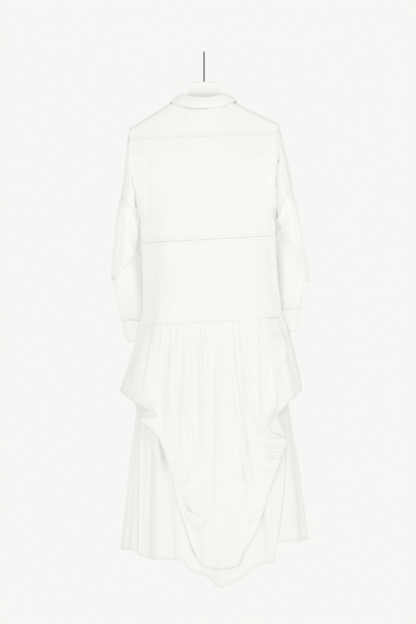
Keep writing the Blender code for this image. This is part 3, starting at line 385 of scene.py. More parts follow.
def connect(tree, value, socket):
    """A link into a socket, or a plain value set on it."""
    if isinstance(value, bpy.types.NodeSocket):
        tree.links.new(value, socket)
    else:
        socket.default_value = value


def add_node(tree, kind, inputs=(), **settings):
    """A shader node with its own settings. inputs are pairs of an input and its link or value."""
    made = tree.nodes.new("ShaderNode" + kind)
    for name, value in settings.items():
        setattr(made, name, value)
    for name, value in dict(inputs).items():
        connect(tree, value, made.inputs[name])
    return made


def maths(tree, operation, *values):
    """A Math node whose inputs are links or plain numbers; gives its output."""
    return add_node(tree, "Math", enumerate(values), operation=operation).outputs[0]


def new_group(name, inputs, output):
    """A group with one output, made from its inputs' names and values. None stands for a vector."""
    group = bpy.data.node_groups.new(name, "ShaderNodeTree")
    for socket, default in inputs.items():
        kind = "NodeSocketVector" if default is None else "NodeSocketFloat"
        made = group.interface.new_socket(socket, in_out="INPUT", socket_type=kind)
        if default is not None:
            made.default_value = default
    group.interface.new_socket(output, in_out="OUTPUT", socket_type="NodeSocketFloat")
    given, put = group.nodes.new("NodeGroupInput"), group.nodes.new("NodeGroupOutput")
    return group, given.outputs, put.inputs[output]


# %% Weave, stitches and creases


def make_weave():
    """Plain weave: the product of a sine along and a sine across the threads."""
    group, given, put = new_group("plain_weave", {"Place": None, "Pitch": THREAD_PITCH}, "Height")
    split = add_node(group, "SeparateXYZ", {0: given["Place"]})
    turns = [maths(group, "DIVIDE", split.outputs[axis], given["Pitch"]) for axis in ("X", "Y")]
    waves = [maths(group, "SINE", maths(group, "MULTIPLY", turn, 2 * np.pi)) for turn in turns]
    connect(group, maths(group, "MULTIPLY", *waves), put)
    return group


def make_stitches():
    """Rows of stitches at two distances from the edge, with a gap between one stitch and the next."""
    inputs = {"Edge": 1.0, "Run": 0.0, "First row": FIRST_ROW, "Second row": SECOND_ROW}
    group, given, put = new_group("topstitch", inputs, "Mask")
    rows = []
    for name in ("First row", "Second row"):
        off = maths(group, "ABSOLUTE", maths(group, "SUBTRACT", given["Edge"], given[name]))
        rows.append(maths(group, "LESS_THAN", off, STITCH_HALF_WIDTH))
    stitch = maths(group, "FRACT", maths(group, "DIVIDE", given["Run"], STITCH_LENGTH))
    dash = maths(group, "LESS_THAN", stitch, STITCH_SHARE)
    connect(group, maths(group, "MULTIPLY", maths(group, "MAXIMUM", *rows), dash), put)
    return group


def make_crumple():
    """Creases of used cotton: two sizes of noise, one stretched along the hang of the cloth and one
    across it. A crease is the distance of the noise from its middle value."""
    group, given, put = new_group("crumple", {"Place": None, "Scale": 1.0}, "Height")
    heights = []
    for stretch, scale, detail in CREASES:
        shaped = add_node(group, "VectorMath", {0: given["Place"], 1: (1.0, 1.0, stretch)},
                          operation="MULTIPLY")
        size = maths(group, "MULTIPLY", given["Scale"], scale)
        noise = add_node(group, "TexNoise", {"Vector": shaped.outputs[0], "Scale": size,
                                             "Detail": detail, "Roughness": CREASE_ROUGHNESS})
        crest = maths(group, "ABSOLUTE", maths(group, "SUBTRACT", noise.outputs["Fac"], 0.5))
        heights.append(maths(group, "MULTIPLY", crest, CREASES[0][1] / scale))
    connect(group, maths(group, "ADD", *heights), put)
    return group


weave_group, stitch_group, crumple_group = make_weave(), make_stitches(), make_crumple()
print("node groups:", [group.name for group in (weave_group, stitch_group, crumple_group)])

# %% [markdown]
# The poplin material mixes a very slightly darker white into the cloth in soft clouds, as cotton
# never takes light quite evenly, and darkens the needle's row by a trace. Three bumps are chained:
# crumples first, then stitches, then threads, each with its own height in metres.

# %% The poplin
WHITE, SHADED = (0.975, 0.975, 0.965), (0.960, 0.960, 0.950)
COTTON_ROUGHNESS, COTTON_GLOSS = 0.82, 0.15
CLOUD_SCALE, CLOUD_DETAIL = 7.0, 3.0
NEEDLE_SHADE, STITCH_HEIGHT, THREAD_HEIGHT = 0.95, 0.0002, 0.00003


def mixed(tree, share, first, second):
    """A colour between two, each a link or a plain colour."""
    colours = {0: share}
    for socket, colour in ((6, first), (7, second)):
        colours[socket] = (*colour, 1) if isinstance(colour, tuple) else colour
    return add_node(tree, "Mix", colours, data_type="RGBA").outputs[2]


def grouped(tree, group, **values):
    """A group placed in a material. An underscore in a name stands for the space of its input."""
    inputs = {name.replace("_", " "): value for name, value in values.items()}
    return add_node(tree, "Group", inputs, node_tree=group).outputs[0]


def bump(tree, height, distance, before=None):
    """A Bump node for a height in units of distance, laid over the normal that comes before it."""
    inputs = {"Strength": 1.0, "Distance": distance, "Height": height}
    if before is not None:
        inputs["Normal"] = before
    return add_node(tree, "Bump", inputs).outputs["Normal"]


def new_material(name):
    """A material with its node tree, its shader's inputs, and the Object coordinates."""
    material = bpy.data.materials.new(name)
    material.use_nodes = True
    tree = material.node_tree
    return material, tree, tree.nodes["Principled BSDF"].inputs, add_node(tree, "TexCoord").outputs


def poplin(name, crumple, second_row=SECOND_ROW):
    """White cotton. crumple is the height of its creases."""
    material, tree, shader, place = new_material(name)
    shader["Roughness"].default_value = COTTON_ROUGHNESS
    shader["Specular IOR Level"].default_value = COTTON_GLOSS
    edge, run = (add_node(tree, "Attribute", attribute_name=title).outputs["Fac"]
                 for title in ("edge", "run"))
    stitches = grouped(tree, stitch_group, Edge=edge, Run=run, Second_row=second_row)
    clouds = add_node(tree, "TexNoise", {"Scale": CLOUD_SCALE, "Detail": CLOUD_DETAIL,
                                         "Vector": place["Object"]})
    tint = mixed(tree, clouds.outputs["Fac"], WHITE, SHADED)
    needle = tuple(NEEDLE_SHADE * part for part in SHADED)
    connect(tree, mixed(tree, stitches, tint, needle), shader["Base Color"])
    creased = bump(tree, grouped(tree, crumple_group, Place=place["Object"]), crumple)
    sewn = bump(tree, stitches, STITCH_HEIGHT, creased)
    woven = bump(tree, grouped(tree, weave_group, Place=place["UV"]), THREAD_HEIGHT, sewn)
    connect(tree, woven, shader["Normal"])
    return material


body_cloth, skirt_cloth = poplin("poplin_body", 0.0016), poplin("poplin_skirt", 0.0013)
firm_cloth = poplin("poplin_firm", 0.0007, NO_ROW)
print("cloth materials:", body_cloth.name, skirt_cloth.name, firm_cloth.name)

# %% [markdown]
# ## From a grid of points to a wall of cloth
# Every cloth piece is made alike. Numpy gives a grid of points, and heights push them out along the
# grid's own normals. Faces join the points, turned to look outwards. The UV map is the length along
# the cloth in both directions, so a pattern in metres keeps its size. Two attributes tell the stitches
# how far they are from the edge and how far along it. Solidify then gives the wall.

# %% Making a piece of cloth
WALL, FIRM_WALL, CUFF_WALL = 0.0010, 0.0014, 0.0018


def run_down(points):
    """Length along each column from the first row."""
    step = np.linalg.norm(np.diff(points, axis=0), axis=2)
    return np.concatenate([0 * step[:1], np.cumsum(step, axis=0)])


def run_across(points):
    """Length along the rows from the first column, as the mean of all rows."""
    step = np.linalg.norm(np.diff(points, axis=1), axis=2).mean(axis=0)
    return np.concatenate([[0], np.cumsum(step)])[None] + np.zeros((len(points), 1))


def axis_of(points):
    """The upright line through the origin, at each point's own level."""
    return points * np.array([0, 0, 1])


def raised(points, height, inside=None, closed=False):
    """A grid pushed out by a height along its unit normals: the cross product of its two directions,
    turned as a whole to face away from the inside."""
    inside = axis_of(points) if inside is None else inside
    down = np.gradient(points, axis=0)
    across = (np.roll(points, -1, axis=1) - np.roll(points, 1, axis=1) if closed
              else np.gradient(points, axis=1))
    normal = np.cross(across, down)
    normal /= np.linalg.norm(normal, axis=2, keepdims=True) + 1e-12
    return points + normal * np.sign((normal * (points - inside)).sum()) * height[..., None]


# %% The finished wall


def show(mesh, materials, replaced):
    """An object for a mesh, with its materials, that takes the place of a solid of the model."""
    mesh.shade_smooth()
    for material in materials:
        mesh.materials.append(material)
    piece = bpy.data.objects.new(mesh.name, mesh)
    bpy.context.scene.collection.objects.link(piece)
    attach(piece, "root")
    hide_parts(replaced)
    return piece


def cloth_piece(name, points, cloth, inside=None, cells=None, closed=False, wall=WALL, edge=1.0,
                run=None):
    """A named wall of cloth on a grid. cells picks the grid's cells that belong to it."""
    inside = axis_of(points) if inside is None else inside
    rows, columns = points.shape[:2]
    spans = columns if closed else columns - 1
    r, s = np.nonzero(np.broadcast_to(True if cells is None else cells, (rows - 1, spans)))
    after = (s + 1) % columns
    corners = np.stack([r * columns + s, r * columns + after,
                        (r + 1) * columns + after, (r + 1) * columns + s], axis=1)
    wrapped = np.concatenate([points, points[:, :1]], axis=1) if closed else points
    across, down = run_across(wrapped), run_down(wrapped)
    uv = np.stack([np.stack([field[r + i, s + j] for i, j in ((0, 0), (0, 1), (1, 1), (1, 0))], axis=1)
                   for field in (across, down)], axis=2)
    flat = points.reshape(-1, 3)
    a, b, d = (flat[corners[:, i]] for i in (0, 1, 3))
    facing = np.cross(b - a, d - a)
    if (facing * (a - np.broadcast_to(inside, points.shape).reshape(-1, 3)[corners[:, 0]])).sum() < 0:
        corners, uv = corners[:, ::-1], uv[:, ::-1]
    used, corners = np.unique(corners, return_inverse=True)
    mesh = bpy.data.meshes.new(name)
    mesh.from_pydata(flat[used], [], corners.reshape(-1, 4).tolist())
    mesh.uv_layers.new(name="cloth").data.foreach_set("uv", np.ascontiguousarray(uv, np.float32).ravel())
    run = across[:, :columns] if run is None else run
    for title, values in (("edge", edge), ("run", run)):
        values = np.broadcast_to(values, points.shape[:2]).ravel()[used].astype(np.float32)
        mesh.attributes.new(title, "FLOAT", "POINT").data.foreach_set("value", values)
    piece = show(mesh, [cloth], name.removesuffix("_cloth"))
    solid = piece.modifiers.new("wall", "SOLIDIFY")
    solid.thickness, solid.offset = wall, 0
    area = np.linalg.norm(facing, axis=1).sum()
    print(f"{name}: {len(corners) // 4} faces, {area:.3f} square metres")
    return piece


# %% [markdown]
# ## The back of the bodice
# The yoke, the upper back and the lower back are cut from one fine grid, so their seams meet exactly.
# Its folds are placed one by one: a soft valley down each side where the body turns away, press creases
# beside it, and pulls towards the underarms. The yoke seam laps downwards, and the waist seam is
# felled, which gives its double line. The cloth swells a little where it lies over the collar's foot.

# %% Folds of the back
BACK_FOLDS = table(
    FOLD,
    (231, 396, 547, 163, 160, 162, -2.2, 8, 6, 0.25, 0.1),
    (282, 362, 439, 149.6, 150.2, 151.1, -1.2, 3.5, 3.5, 0.4, 0.4),
    (271, 353, 442, 132.5, 131.1, 134, -1.1, 6, 5, 0.4, 0.4),
    (288, 345, 396, 115.4, 115.4, 116.9, -0.9, 5, 5, 0.4, 0.4),
    (277, 334, 396, -159.6, -160.5, -161, -1.3, 3.5, 4, 0.4, 0.4),
    (288, 368, 459, -169.6, -168.1, -165.3, 1.3, 6, 6, 0.4, 0.4),
    (214, 368, 527, -185, -189, -193, -1.8, 6, 7, 0.2, 0.1),
    (282, 382, 470, -182.4, -183.8, -185.2, -1.6, 6, 6, 0.4, 0.4),
    (339, 425, 496, -31.4, -42.8, -45.6, 1.6, 24, 24, 0.5, 0.5),
    (362, 439, 499, 39.9, 45.6, 51.3, -1.2, 20, 18, 0.5, 0.5),
    (373, 453, 522, -102.6, -94.1, -91.2, -1.2, 17, 17, 0.5, 0.5),
    (260, 320, 420, 85, 78, 80, -1, 20, 16, 0.5, 0.5),
    (539, 667, 789, 164, 159, 161, -2, 7, 6, 0.1, 0.3),
    (573, 681, 795, 149.6, 142.5, 148.2, -1.8, 7, 6, 0.4, 0.3),
    (601, 695, 795, 131.1, 125.4, 131.1, 1.8, 9, 8, 0.4, 0.3),
    (539, 601, 675, 89.8, 88.3, 91.2, -1.1, 6, 6, 0.3, 0.5),
    (590, 624, 681, -104, -105.5, -108.3, -0.9, 6, 6, 0.4, 0.4),
    (670, 715, 772, -136.8, -151.1, -162.5, -2, 6, 6, 0.4, 0.3),
    (664, 710, 781, -168.1, -173.9, -173.9, -1.4, 6, 6, 0.4, 0.3),
    (533, 630, 744, -188, -194, -206, -2.2, 7, 8, 0.1, 0.3),
    (681, 727, 790, 11.4, 5.7, 2.9, -1.2, 10, 10, 0.5, 0.2),
    (687, 733, 790, -59.9, -57, -57, 1.2, 10, 10, 0.5, 0.2), plain=FADES)
ARM_FOLDS = table(
    FOLD,
    (320, 380, 440, 219, 218, 214, -2.6, 4, 5, 0.4, 0.25),
    (290, 360, 440, -223, -229, -233, -2.6, 6, 6, 0.4, 0.25), plain=FADES)

# %% The back's grid and its pieces
ARM_REACH = 0.105       # metres round the arm for one whole column
HELD = 0.010            # reach of a seam that holds its cloth still
SHOULDER_HELD = 0.02
COLLAR_AT, COLLAR_WIDTH, COLLAR_DOWN, COLLAR_SWELL = 0.050, 0.024, 0.07, 0.0050
ROW_STEP = 0.0033
STRETCHES = ((0, 0.4, 0.015), (0.4, 0.6, 0.09), (1, 1, 0.235), (2, 1, 0.062), (3, 1, 0.235))


def seam_rows(stretches, step):
    """Rows k for stretches, each given by its first k, its span in k and its length in metres. They
    are eased, so that they crowd towards every seam."""
    parts = [eased(max(4, round(length / step)), k, k + span)[:-1] for k, span, length in stretches]
    return np.concatenate([*parts, [stretches[-1][0] + stretches[-1][1]]])


BODICE_ROWS = seam_rows(STRETCHES, ROW_STEP)
HALF_COLUMNS = np.concatenate([eased(58, 0, 1, 0.25)[:-1], eased(5, 1, ARM_START, 0)[:-1],
                               eased(30, ARM_START, ARM_END, 0.1)])
BOTH_COLUMNS = np.concatenate([-HALF_COLUMNS[:0:-1], HALF_COLUMNS])


def cell_middles(columns, rows):
    """Middles of the grid's cells, to choose the cells of each piece."""
    return np.meshgrid((columns[1:] + columns[:-1]) / 2, (rows[1:] + rows[:-1]) / 2)


def bodice_height(points, top, c, k, on_body, on_arms, broad, fine, seed):
    """Folds of body and arms, with broad ripples that start below the top, and fine ones."""
    x, drop = points[..., 0], -points[..., 2]
    arm = smooth((np.abs(c) - 1.0) / 0.2)
    height = folds(drop, x, on_body) * (1 - arm)
    height += folds(drop, x, on_arms) * arm * smooth((2 - k) / 0.3) * (k < 2)
    height += broad * ripples(x, drop * 0.6, 0.055, seed) * smooth((drop - top) / 0.03)
    return height + fine * ripples(x, drop * 0.5, 0.018, seed + 1)


back_points, (top, yoke_line, _, waist, hip) = bodice_surface(BACK, BOTH_COLUMNS, BODICE_ROWS)
c, k = np.meshgrid(BOTH_COLUMNS, BODICE_ROWS)
x, drop = back_points[..., 0], -back_points[..., 2]
off_yoke = np.minimum(drop - yoke_line, (YOKE_COLUMN - np.abs(c)) * ARM_REACH)
off_waist, off_shoulder = drop - waist, drop - top
off_hanger = smooth(off_shoulder / SHOULDER_HELD)
height = bodice_height(back_points, top, c, k, BACK_FOLDS, ARM_FOLDS, broad=0.0016, fine=0.0006,
                       seed=11)
beside_neck = bell((np.abs(x - NECK_SHIFT) - COLLAR_AT) / COLLAR_WIDTH)
height += COLLAR_SWELL * beside_neck * bell(off_shoulder / COLLAR_DOWN) * off_hanger
height += seam_height(off_yoke, x, lift=0.00012, width=0.006) * off_hanger
height += seam_height(-off_waist, x, lift=0.0004, seed=7) * (np.abs(c) <= 1)
back_points = raised(back_points, height * (1 - bell((drop - hip) / HELD)))

cell_c, cell_k = cell_middles(BOTH_COLUMNS, BODICE_ROWS)
within, body = np.abs(cell_c) < YOKE_COLUMN, np.abs(cell_c) < 1
yoke = cloth_piece("back_yoke_cloth", back_points, body_cloth, edge=np.abs(off_yoke),
                   cells=(cell_k < 2) & ((cell_k < 1) | ~within))
upper = cloth_piece("back_upper_cloth", back_points, body_cloth, edge=np.abs(off_waist),
                    cells=(cell_k > 1) & ((cell_k < 2) & within | (cell_k < 3) & body))
lower = cloth_piece("back_lower_cloth", back_points, body_cloth, edge=np.abs(off_waist),
                    cells=(cell_k > 3) & body)

# %% [markdown]
# ## The two fronts and the placket
# A shirt front is one long panel from the shoulder to the hip seam. The left front runs on under the
# placket, and the right stops beside it. The placket is the same surface again, moved out by the
# thickness that it lies on, so it follows each fold below it. Its columns hang at fixed places,
# because a placket stays straight.

# %% Fronts and placket
FRONT_FOLDS = table(
    FOLD,
    (250, 400, 540, 160, 162, 168, -4, 8, 8, 0.3, 0.1),
    (250, 400, 560, -170, -179, -188, -3.6, 8, 9, 0.3, 0.1),
    (270, 380, 520, 115, 104, 112, 2.2, 14, 12, 0.4, 0.4),
    (300, 430, 560, -115, -110, -124, 2.2, 14, 15, 0.4, 0.4),
    (280, 450, 640, 56, 49, 60, -1.8, 12, 14, 0.4, 0.4),
    (330, 500, 700, -60, -68, -64, -1.8, 14, 12, 0.4, 0.4),
    (550, 680, 790, 156, 150, 158, -3.2, 8, 8, 0.2, 0.3),
    (550, 680, 790, -182, -190, -200, -3.6, 8, 9, 0.2, 0.3),
    (600, 700, 795, 90, 96, 98, 2, 14, 12, 0.4, 0.2),
    (620, 710, 795, -105, -112, -112, 2, 12, 12, 0.4, 0.2), plain=FADES)
FRONT_ARM_FOLDS = table(
    FOLD,
    (260, 340, 440, 215, 220, 218, -4, 6, 6, 0.3, 0.2),
    (260, 350, 450, -220, -226, -228, -4, 7, 7, 0.3, 0.2), plain=FADES)
LEFT_EDGE_COLUMN, LEFT_EDGE = -0.060, -0.0130
RIGHT_EDGE_COLUMN, RIGHT_EDGE = -0.069, -0.0139
PLACKET_HALF, PLACKET_COLUMN, PLACKET_OUT, PLACKET_STITCH = 0.015, 0.02, 0.0016, 0.005
PLACKET_ROUND, PLACKET_DIP, PLACKET_SEED = 0.0004, 0.0005, 31


def front_surface(columns, straight):
    """A front's points with its folds, and their distance below the shoulder line."""
    points, (top, *_, hip) = bodice_surface(FRONT, columns, BODICE_ROWS, straight)
    c, k = np.meshgrid(columns, BODICE_ROWS)
    drop = -points[..., 2]
    height = bodice_height(points, top, c, k, FRONT_FOLDS, FRONT_ARM_FOLDS, broad=0.0014, fine=0.0005,
                           seed=21)
    return raised(points, height * (1 - bell((drop - hip) / HELD))), drop - top


def front_piece(name, columns, straight):
    """A front's cloth, which ends at the underarm on the arm's side."""
    points, off_top = front_surface(columns, straight)
    cell_c, cell_k = cell_middles(columns, BODICE_ROWS)
    piece = cloth_piece(name, points, body_cloth, edge=np.abs(off_top),
                        cells=(cell_k < 2) | (np.abs(cell_c) < 1))


under_placket = np.linspace(LEFT_EDGE_COLUMN, 0, 6)[:-1]
hanging_free = np.full(len(HALF_COLUMNS), np.nan)
front_piece("front_left_cloth", np.concatenate([under_placket, HALF_COLUMNS]),
            np.concatenate([under_placket / LEFT_EDGE_COLUMN * LEFT_EDGE, hanging_free]))
right_half = HALF_COLUMNS[HALF_COLUMNS > -RIGHT_EDGE_COLUMN + 0.01]
front_piece("front_right_cloth", np.append(-right_half[::-1], RIGHT_EDGE_COLUMN),
            np.append(hanging_free[:len(right_half)], RIGHT_EDGE))

placket_x = eased(15, -PLACKET_HALF, PLACKET_HALF, 0.3)
placket_points, _ = front_surface(placket_x / PLACKET_HALF * PLACKET_COLUMN, placket_x)
beside = (PLACKET_HALF - np.abs(placket_x))[None]
thick = PLACKET_OUT + PLACKET_ROUND * smooth(beside / 0.002)
thick -= PLACKET_DIP * bell((beside - PLACKET_STITCH) / 0.0012)
pucker = ripples(-placket_points[..., 2], placket_x[None] * 3, 0.011, PLACKET_SEED)
pucker = PUCKER_HEIGHT * pucker * np.exp(-beside / PLACKET_STITCH)
placket_points = raised(placket_points, thick + pucker)
placket = cloth_piece("placket_cloth", placket_points, firm_cloth, edge=beside,
                      run=run_down(placket_points))

# %% [markdown]
# ## Sleeves and cuffs
# A sleeve is a tube of slanted rings. At the elbow the upper sleeve hangs past the lower one: its rings
# run down to a lobe and then back up inside, before the lower sleeve comes out in front. The first
# ring is eased into the bodice's own seam. Its folds are placed in the tube's two numbers, the ring
# and the angle round it, and the cloth is gathered a little into each cuff.

# %% Sleeves
SLEEVE_FOLDS = table(
    FOLD,
    (0.1, 1.6, 3.6, 104, 112, 120, -5, 16, 18, 0.15, 0.3),
    (0.4, 2, 4.4, 70, 62, 58, -3.2, 16, 14, 0.3, 0.3),
    (1, 2.6, 4.6, 30, 24, 20, 2.6, 18, 16, 0.4, 0.3),
    (0.3, 2, 4, 150, 148, 150, 3, 14, 14, 0.3, 0.3),
    (0.4, 2, 4.2, 235, 240, 244, -4.2, 20, 22, 0.3, 0.3),
    (0.8, 2.4, 4.4, 300, 296, 300, -3.4, 18, 20, 0.3, 0.3),
    (6.2, 7.6, 9.2, 62, 66, 74, -5, 16, 14, 0.2, 0.15),
    (6.4, 7.8, 9.2, 108, 104, 98, 3.4, 18, 16, 0.3, 0.2),
    (6.2, 7.8, 9.2, 140, 138, 130, -4.6, 14, 16, 0.2, 0.15),
    (6.2, 7.7, 9.2, 226, 232, 240, -5, 18, 18, 0.2, 0.15),
    (6.4, 7.8, 9.2, 268, 270, 268, 3.6, 20, 20, 0.3, 0.2),
    (6.2, 7.8, 9.2, 318, 312, 306, -4.8, 16, 18, 0.2, 0.15), plain=ALL_BUT_HEIGHT)
SLEEVE_AROUND = 0.3     # metres round a sleeve
VALLEY_POWER, LEAST_SINE, LAST_RING, HEAD_REACH = 0.7, 0.02, 9, 0.8
SLEEVE_SEED, SLEEVE_RIPPLE, SLEEVE_RIPPLE_SIZE = 41, 0.0016, 0.034
TUCKS, TUCK_HEIGHT, TUCK_REACH, TUCK_END = 14, 0.0022, 0.022, 0.008
SLIT_ANGLE, SLIT_DEPTH = 306, 0.0014
CUFF_STITCH, CUFF_DIP, CUFF_RIPPLE, CUFF_RIPPLE_SIZE = 0.0045, 0.0005, 0.0006, 0.020
ring_angles = np.radians(np.arange(0, 360, 4.0))
degrees = np.degrees(ring_angles)[None]
around = degrees / 360 * SLEEVE_AROUND
ring_rows = np.concatenate([eased(46, 0, 3, 0.4)[:-1], np.linspace(3, 6, 44)[:-1], eased(48, 6, 9, 0.4)])


def tube_ring(rows, side, ring, valley=0.0):
    """Points round a sleeve or cuff: cosine out to the side, sine to the back, on a slanted ring. With
    a valley power the sine is raised to more than one beside the body, so that the back rises more
    slowly there and leaves an open valley. The valley fades out at the first and the last ring."""
    ring = ring[:, None] + 0 * ring_angles
    outer, inner = read(rows, "outer", ring), read(rows, "inner", ring)
    cosine, sine = np.cos(ring_angles), np.sin(ring_angles)
    depth = np.where(sine > 0, read(rows, "back", ring), read(rows, "front", ring))
    beside_body = smooth(-2 * cosine) * (sine > 0) * smooth(ring / 2) * smooth((LAST_RING - ring) / 2)
    slower = np.maximum(np.abs(sine), LEAST_SINE) ** (valley * beside_body)
    y = read(rows, "y_mid", ring) + depth * sine * slower
    x = side * ((outer + inner) / 2 + (outer - inner) / 2 * cosine)
    return np.stack([x, y, -ring_drop(rows, ring, ring_angles)], axis=2)


def sleeve_head(side):
    """The bodice's own sleeve seam at the sleeve's angles: its back for the first half turn, its front
    for the second."""
    half_turns = np.minimum(ring_angles, 2 * np.pi - ring_angles) / np.pi
    c = side * (ARM_END - (ARM_END - ARM_START) * half_turns)
    back, front = (bodice_surface(face, c, (2.0,))[0][0] for face in (BACK, FRONT))
    return np.where((ring_angles <= np.pi)[:, None], back, front)


def sleeve(side_name, side, rows, cuff_rows, seed):
    """One sleeve and its cuff."""
    name, cuff_name = "sleeve_" + side_name, "cuff_" + side_name
    points = tube_ring(rows, side, ring_rows, VALLEY_POWER)
    points += (sleeve_head(side) - points[0]) * (1 - smooth(ring_rows / HEAD_REACH))[:, None, None]
    middle = points.mean(axis=1, keepdims=True)
    length = run_down(points)
    to_cuff = length[-1] - length
    height = folds(ring_rows[:, None], degrees + (seed - SLEEVE_SEED) * 3, SLEEVE_FOLDS)
    height += SLEEVE_RIPPLE * ripples(around, length, SLEEVE_RIPPLE_SIZE, seed) * smooth(length / 0.03)
    tucks = np.sin(TUCKS * ring_angles + 2 * np.sin(ring_angles * 3))
    height += TUCK_HEIGHT * tucks * np.exp(-to_cuff / TUCK_REACH) * smooth(to_cuff / TUCK_END)
    height += seam_height(length - 0.0005, around + 0 * length, width=0.006, seed=seed)
    points = raised(points, height * smooth(length / 0.004), middle, closed=True)
    piece = cloth_piece(name + "_cloth", points, body_cloth, middle, closed=True,
                        edge=np.minimum(length, to_cuff))

    points = tube_ring(cuff_rows, side, eased(22, 0, 2, 0.5))
    middle = points.mean(axis=1, keepdims=True)
    length = run_down(points)
    edge = np.minimum(length, length[-1] - length)
    height = CUFF_RIPPLE * ripples(around, length, CUFF_RIPPLE_SIZE, seed + 4)
    height -= SLIT_DEPTH * bell((degrees - SLIT_ANGLE) / 4)
    height -= CUFF_DIP * bell((edge - CUFF_STITCH) / 0.0014)
    points = raised(points, height, middle, closed=True)
    cuff = cloth_piece(cuff_name + "_cloth", points, firm_cloth, middle, closed=True, wall=CUFF_WALL,
                       edge=edge)
    return points


cuffs = {"left": sleeve("left", LEFT_SIDE, SLEEVE_LEFT, CUFF_LEFT, SLEEVE_SEED),
         "right": sleeve("right", RIGHT_SIDE, SLEEVE_RIGHT, CUFF_RIGHT, SLEEVE_SEED + 2)}

# %% [markdown]
# ## The collar
# A shirt collar is two pieces. The stand is a firm band round the neck that laps at the front, and the
# leaf folds over its top and falls outside it. Both follow the turn round the neck from the centre
# back. Across the leaf the profile is a half-circle fold and then a straight fall that flares, more
# at the neck's sides than at its back.

# %% Stand and leaf
STAND_OVERLAP, STAND_LIFT, STAND_STEP, STAND_BOW = 15, 0.0007, 0.0019, 0.0008
STAND_TOP = table(
    "turn x_half y_reach drop_left drop_right",
    (0, 55, 27, 134, 134),
    (15, 55, 26.8, 133.5, 133.4),
    (45, 55, 25, 128.5, 127.5),
    (90, 55, 36, 121.5, 119),
    (135, 55, 48, 143, 141),
    (180, 55, 62, 190, 190), plain="turn")
STAND_TOP_SHIFT = 0.003
LEAF_ROLL, LEAF_RISE, LEAF_END, LEAF_BOW, LEAF_STITCH = 0.0035, 0.0015, 172, 0.0016, 0.005
LEAF_AROUND = 0.42      # metres round the leaf for a whole turn
LEAF_FALL = table(
    "turn length flare",
    (0, 29.5, 4),
    (15, 29.8, 6),
    (45, 34, 20),
    (67, 38, 44),
    (90, 43.5, 56),
    (113, 44.5, 48),
    (135, 46, 32),
    (172, 62, 20), plain="turn flare")


def neckline(turn):
    """Neck seam at a turn from the centre back: sine sideways, the square of the cosine for its
    depth, and a higher power for its drop."""
    at_back = np.cos(turn) > 0
    shoulder = np.where(turn >= 0, SHOULDER["left_drop"][0], SHOULDER["right_drop"][0])
    centre = np.where(at_back, NECK_BACK_DROP, NECK_FRONT_DROP)
    drop = shoulder + (centre - shoulder) * np.abs(np.cos(turn)) ** np.where(at_back, 4, 3)
    y = np.where(at_back, NECK_BACK, -NECK_FRONT) * np.cos(turn) ** 2
    return np.stack([NECK_SHIFT + NECK_HALF * np.sin(turn), y, -drop], axis=-1)


def stand_top(turn):
    """Top edge of the stand: an ellipse at drops read from the table."""
    at = np.minimum(np.abs(np.degrees(turn)), 180)
    x = STAND_TOP_SHIFT + read(STAND_TOP, "x_half", at) * np.sin(turn)
    y = read(STAND_TOP, "y_reach", at) * np.cos(turn)
    drop = np.where(turn >= 0, read(STAND_TOP, "drop_left", at), read(STAND_TOP, "drop_right", at))
    return np.stack([x, y, -drop], axis=-1)


def outward(turn):
    """Level direction away from the neck at a turn, more sideways than backwards or forwards."""
    way = np.stack([np.sin(turn), 0.5 * np.cos(turn), 0 * turn], axis=-1)
    return way / np.linalg.norm(way, axis=-1, keepdims=True)


# %% The stand
turn = np.radians(np.linspace(-180 - STAND_OVERLAP, 180 + STAND_OVERLAP, 161))
FRONT_OF_STAND = int(np.argmin(np.abs(turn + np.pi)))
foot, top = neckline(turn), stand_top(turn)
foot[:, 2] += STAND_LIFT
step_out = np.clip((-np.degrees(turn) - 150) / 20, 0, 1) * STAND_STEP
up = eased(12, 0, 1, 0.4)[:, None, None]
bow = step_out[:, None] + STAND_BOW * np.sin(np.pi * up)
stand_points = foot + (top - foot) * up + outward(turn) * bow
length = run_down(stand_points)
stand = cloth_piece("collar_stand_cloth", stand_points, firm_cloth, wall=FIRM_WALL,
                    edge=np.minimum(length, length[-1] - length))

# %% The leaf
turn = np.radians(np.linspace(-LEAF_END, LEAF_END, 173))
from_back = np.abs(np.degrees(turn))
flare, fall = np.radians(read(LEAF_FALL, "flare", from_back)), read(LEAF_FALL, "length", from_back)
angle = np.pi + (flare - np.pi) * np.linspace(0, 1, 12)[:, None]
roll_out, roll_up = LEAF_ROLL * (1 + np.cos(angle)), LEAF_RISE + LEAF_ROLL * np.sin(angle)
share = eased(18, 0, 1, 0.3)[1:, None]
bow = LEAF_BOW * np.sin(np.pi * share)
fall_out = roll_out[-1] + fall * share * np.sin(flare) + bow * np.cos(flare)
fall_up = roll_up[-1] - fall * share * np.cos(flare) + bow * np.sin(flare)
out = np.concatenate([0 * flare[None], roll_out, fall_out])[..., None]
up = np.concatenate([0 * flare[None], roll_up, fall_up])[..., None]
leaf_points = stand_top(turn) + outward(turn) * out + np.array([0, 0, 1]) * up
length = run_down(leaf_points)
to_edge = np.minimum(length[-1] - length, (LEAF_END - from_back) / 360 * LEAF_AROUND)
sway = 0.0016 * np.sin(3 * turn + 0.6) + 0.0010 * ripples(turn * 0.06, 0 * turn, 0.014, 51)
loose = smooth((length - 0.012) / 0.02)
height = sway[None] * loose + 0.0004 * ripples(turn[None] * 0.06, length, 0.010, 52) * loose
leaf_points = raised(leaf_points, height - 0.0004 * bell((to_edge - LEAF_STITCH) / 0.0013))
leaf = cloth_piece("collar_leaf_cloth", leaf_points, firm_cloth, wall=FIRM_WALL, edge=to_edge)

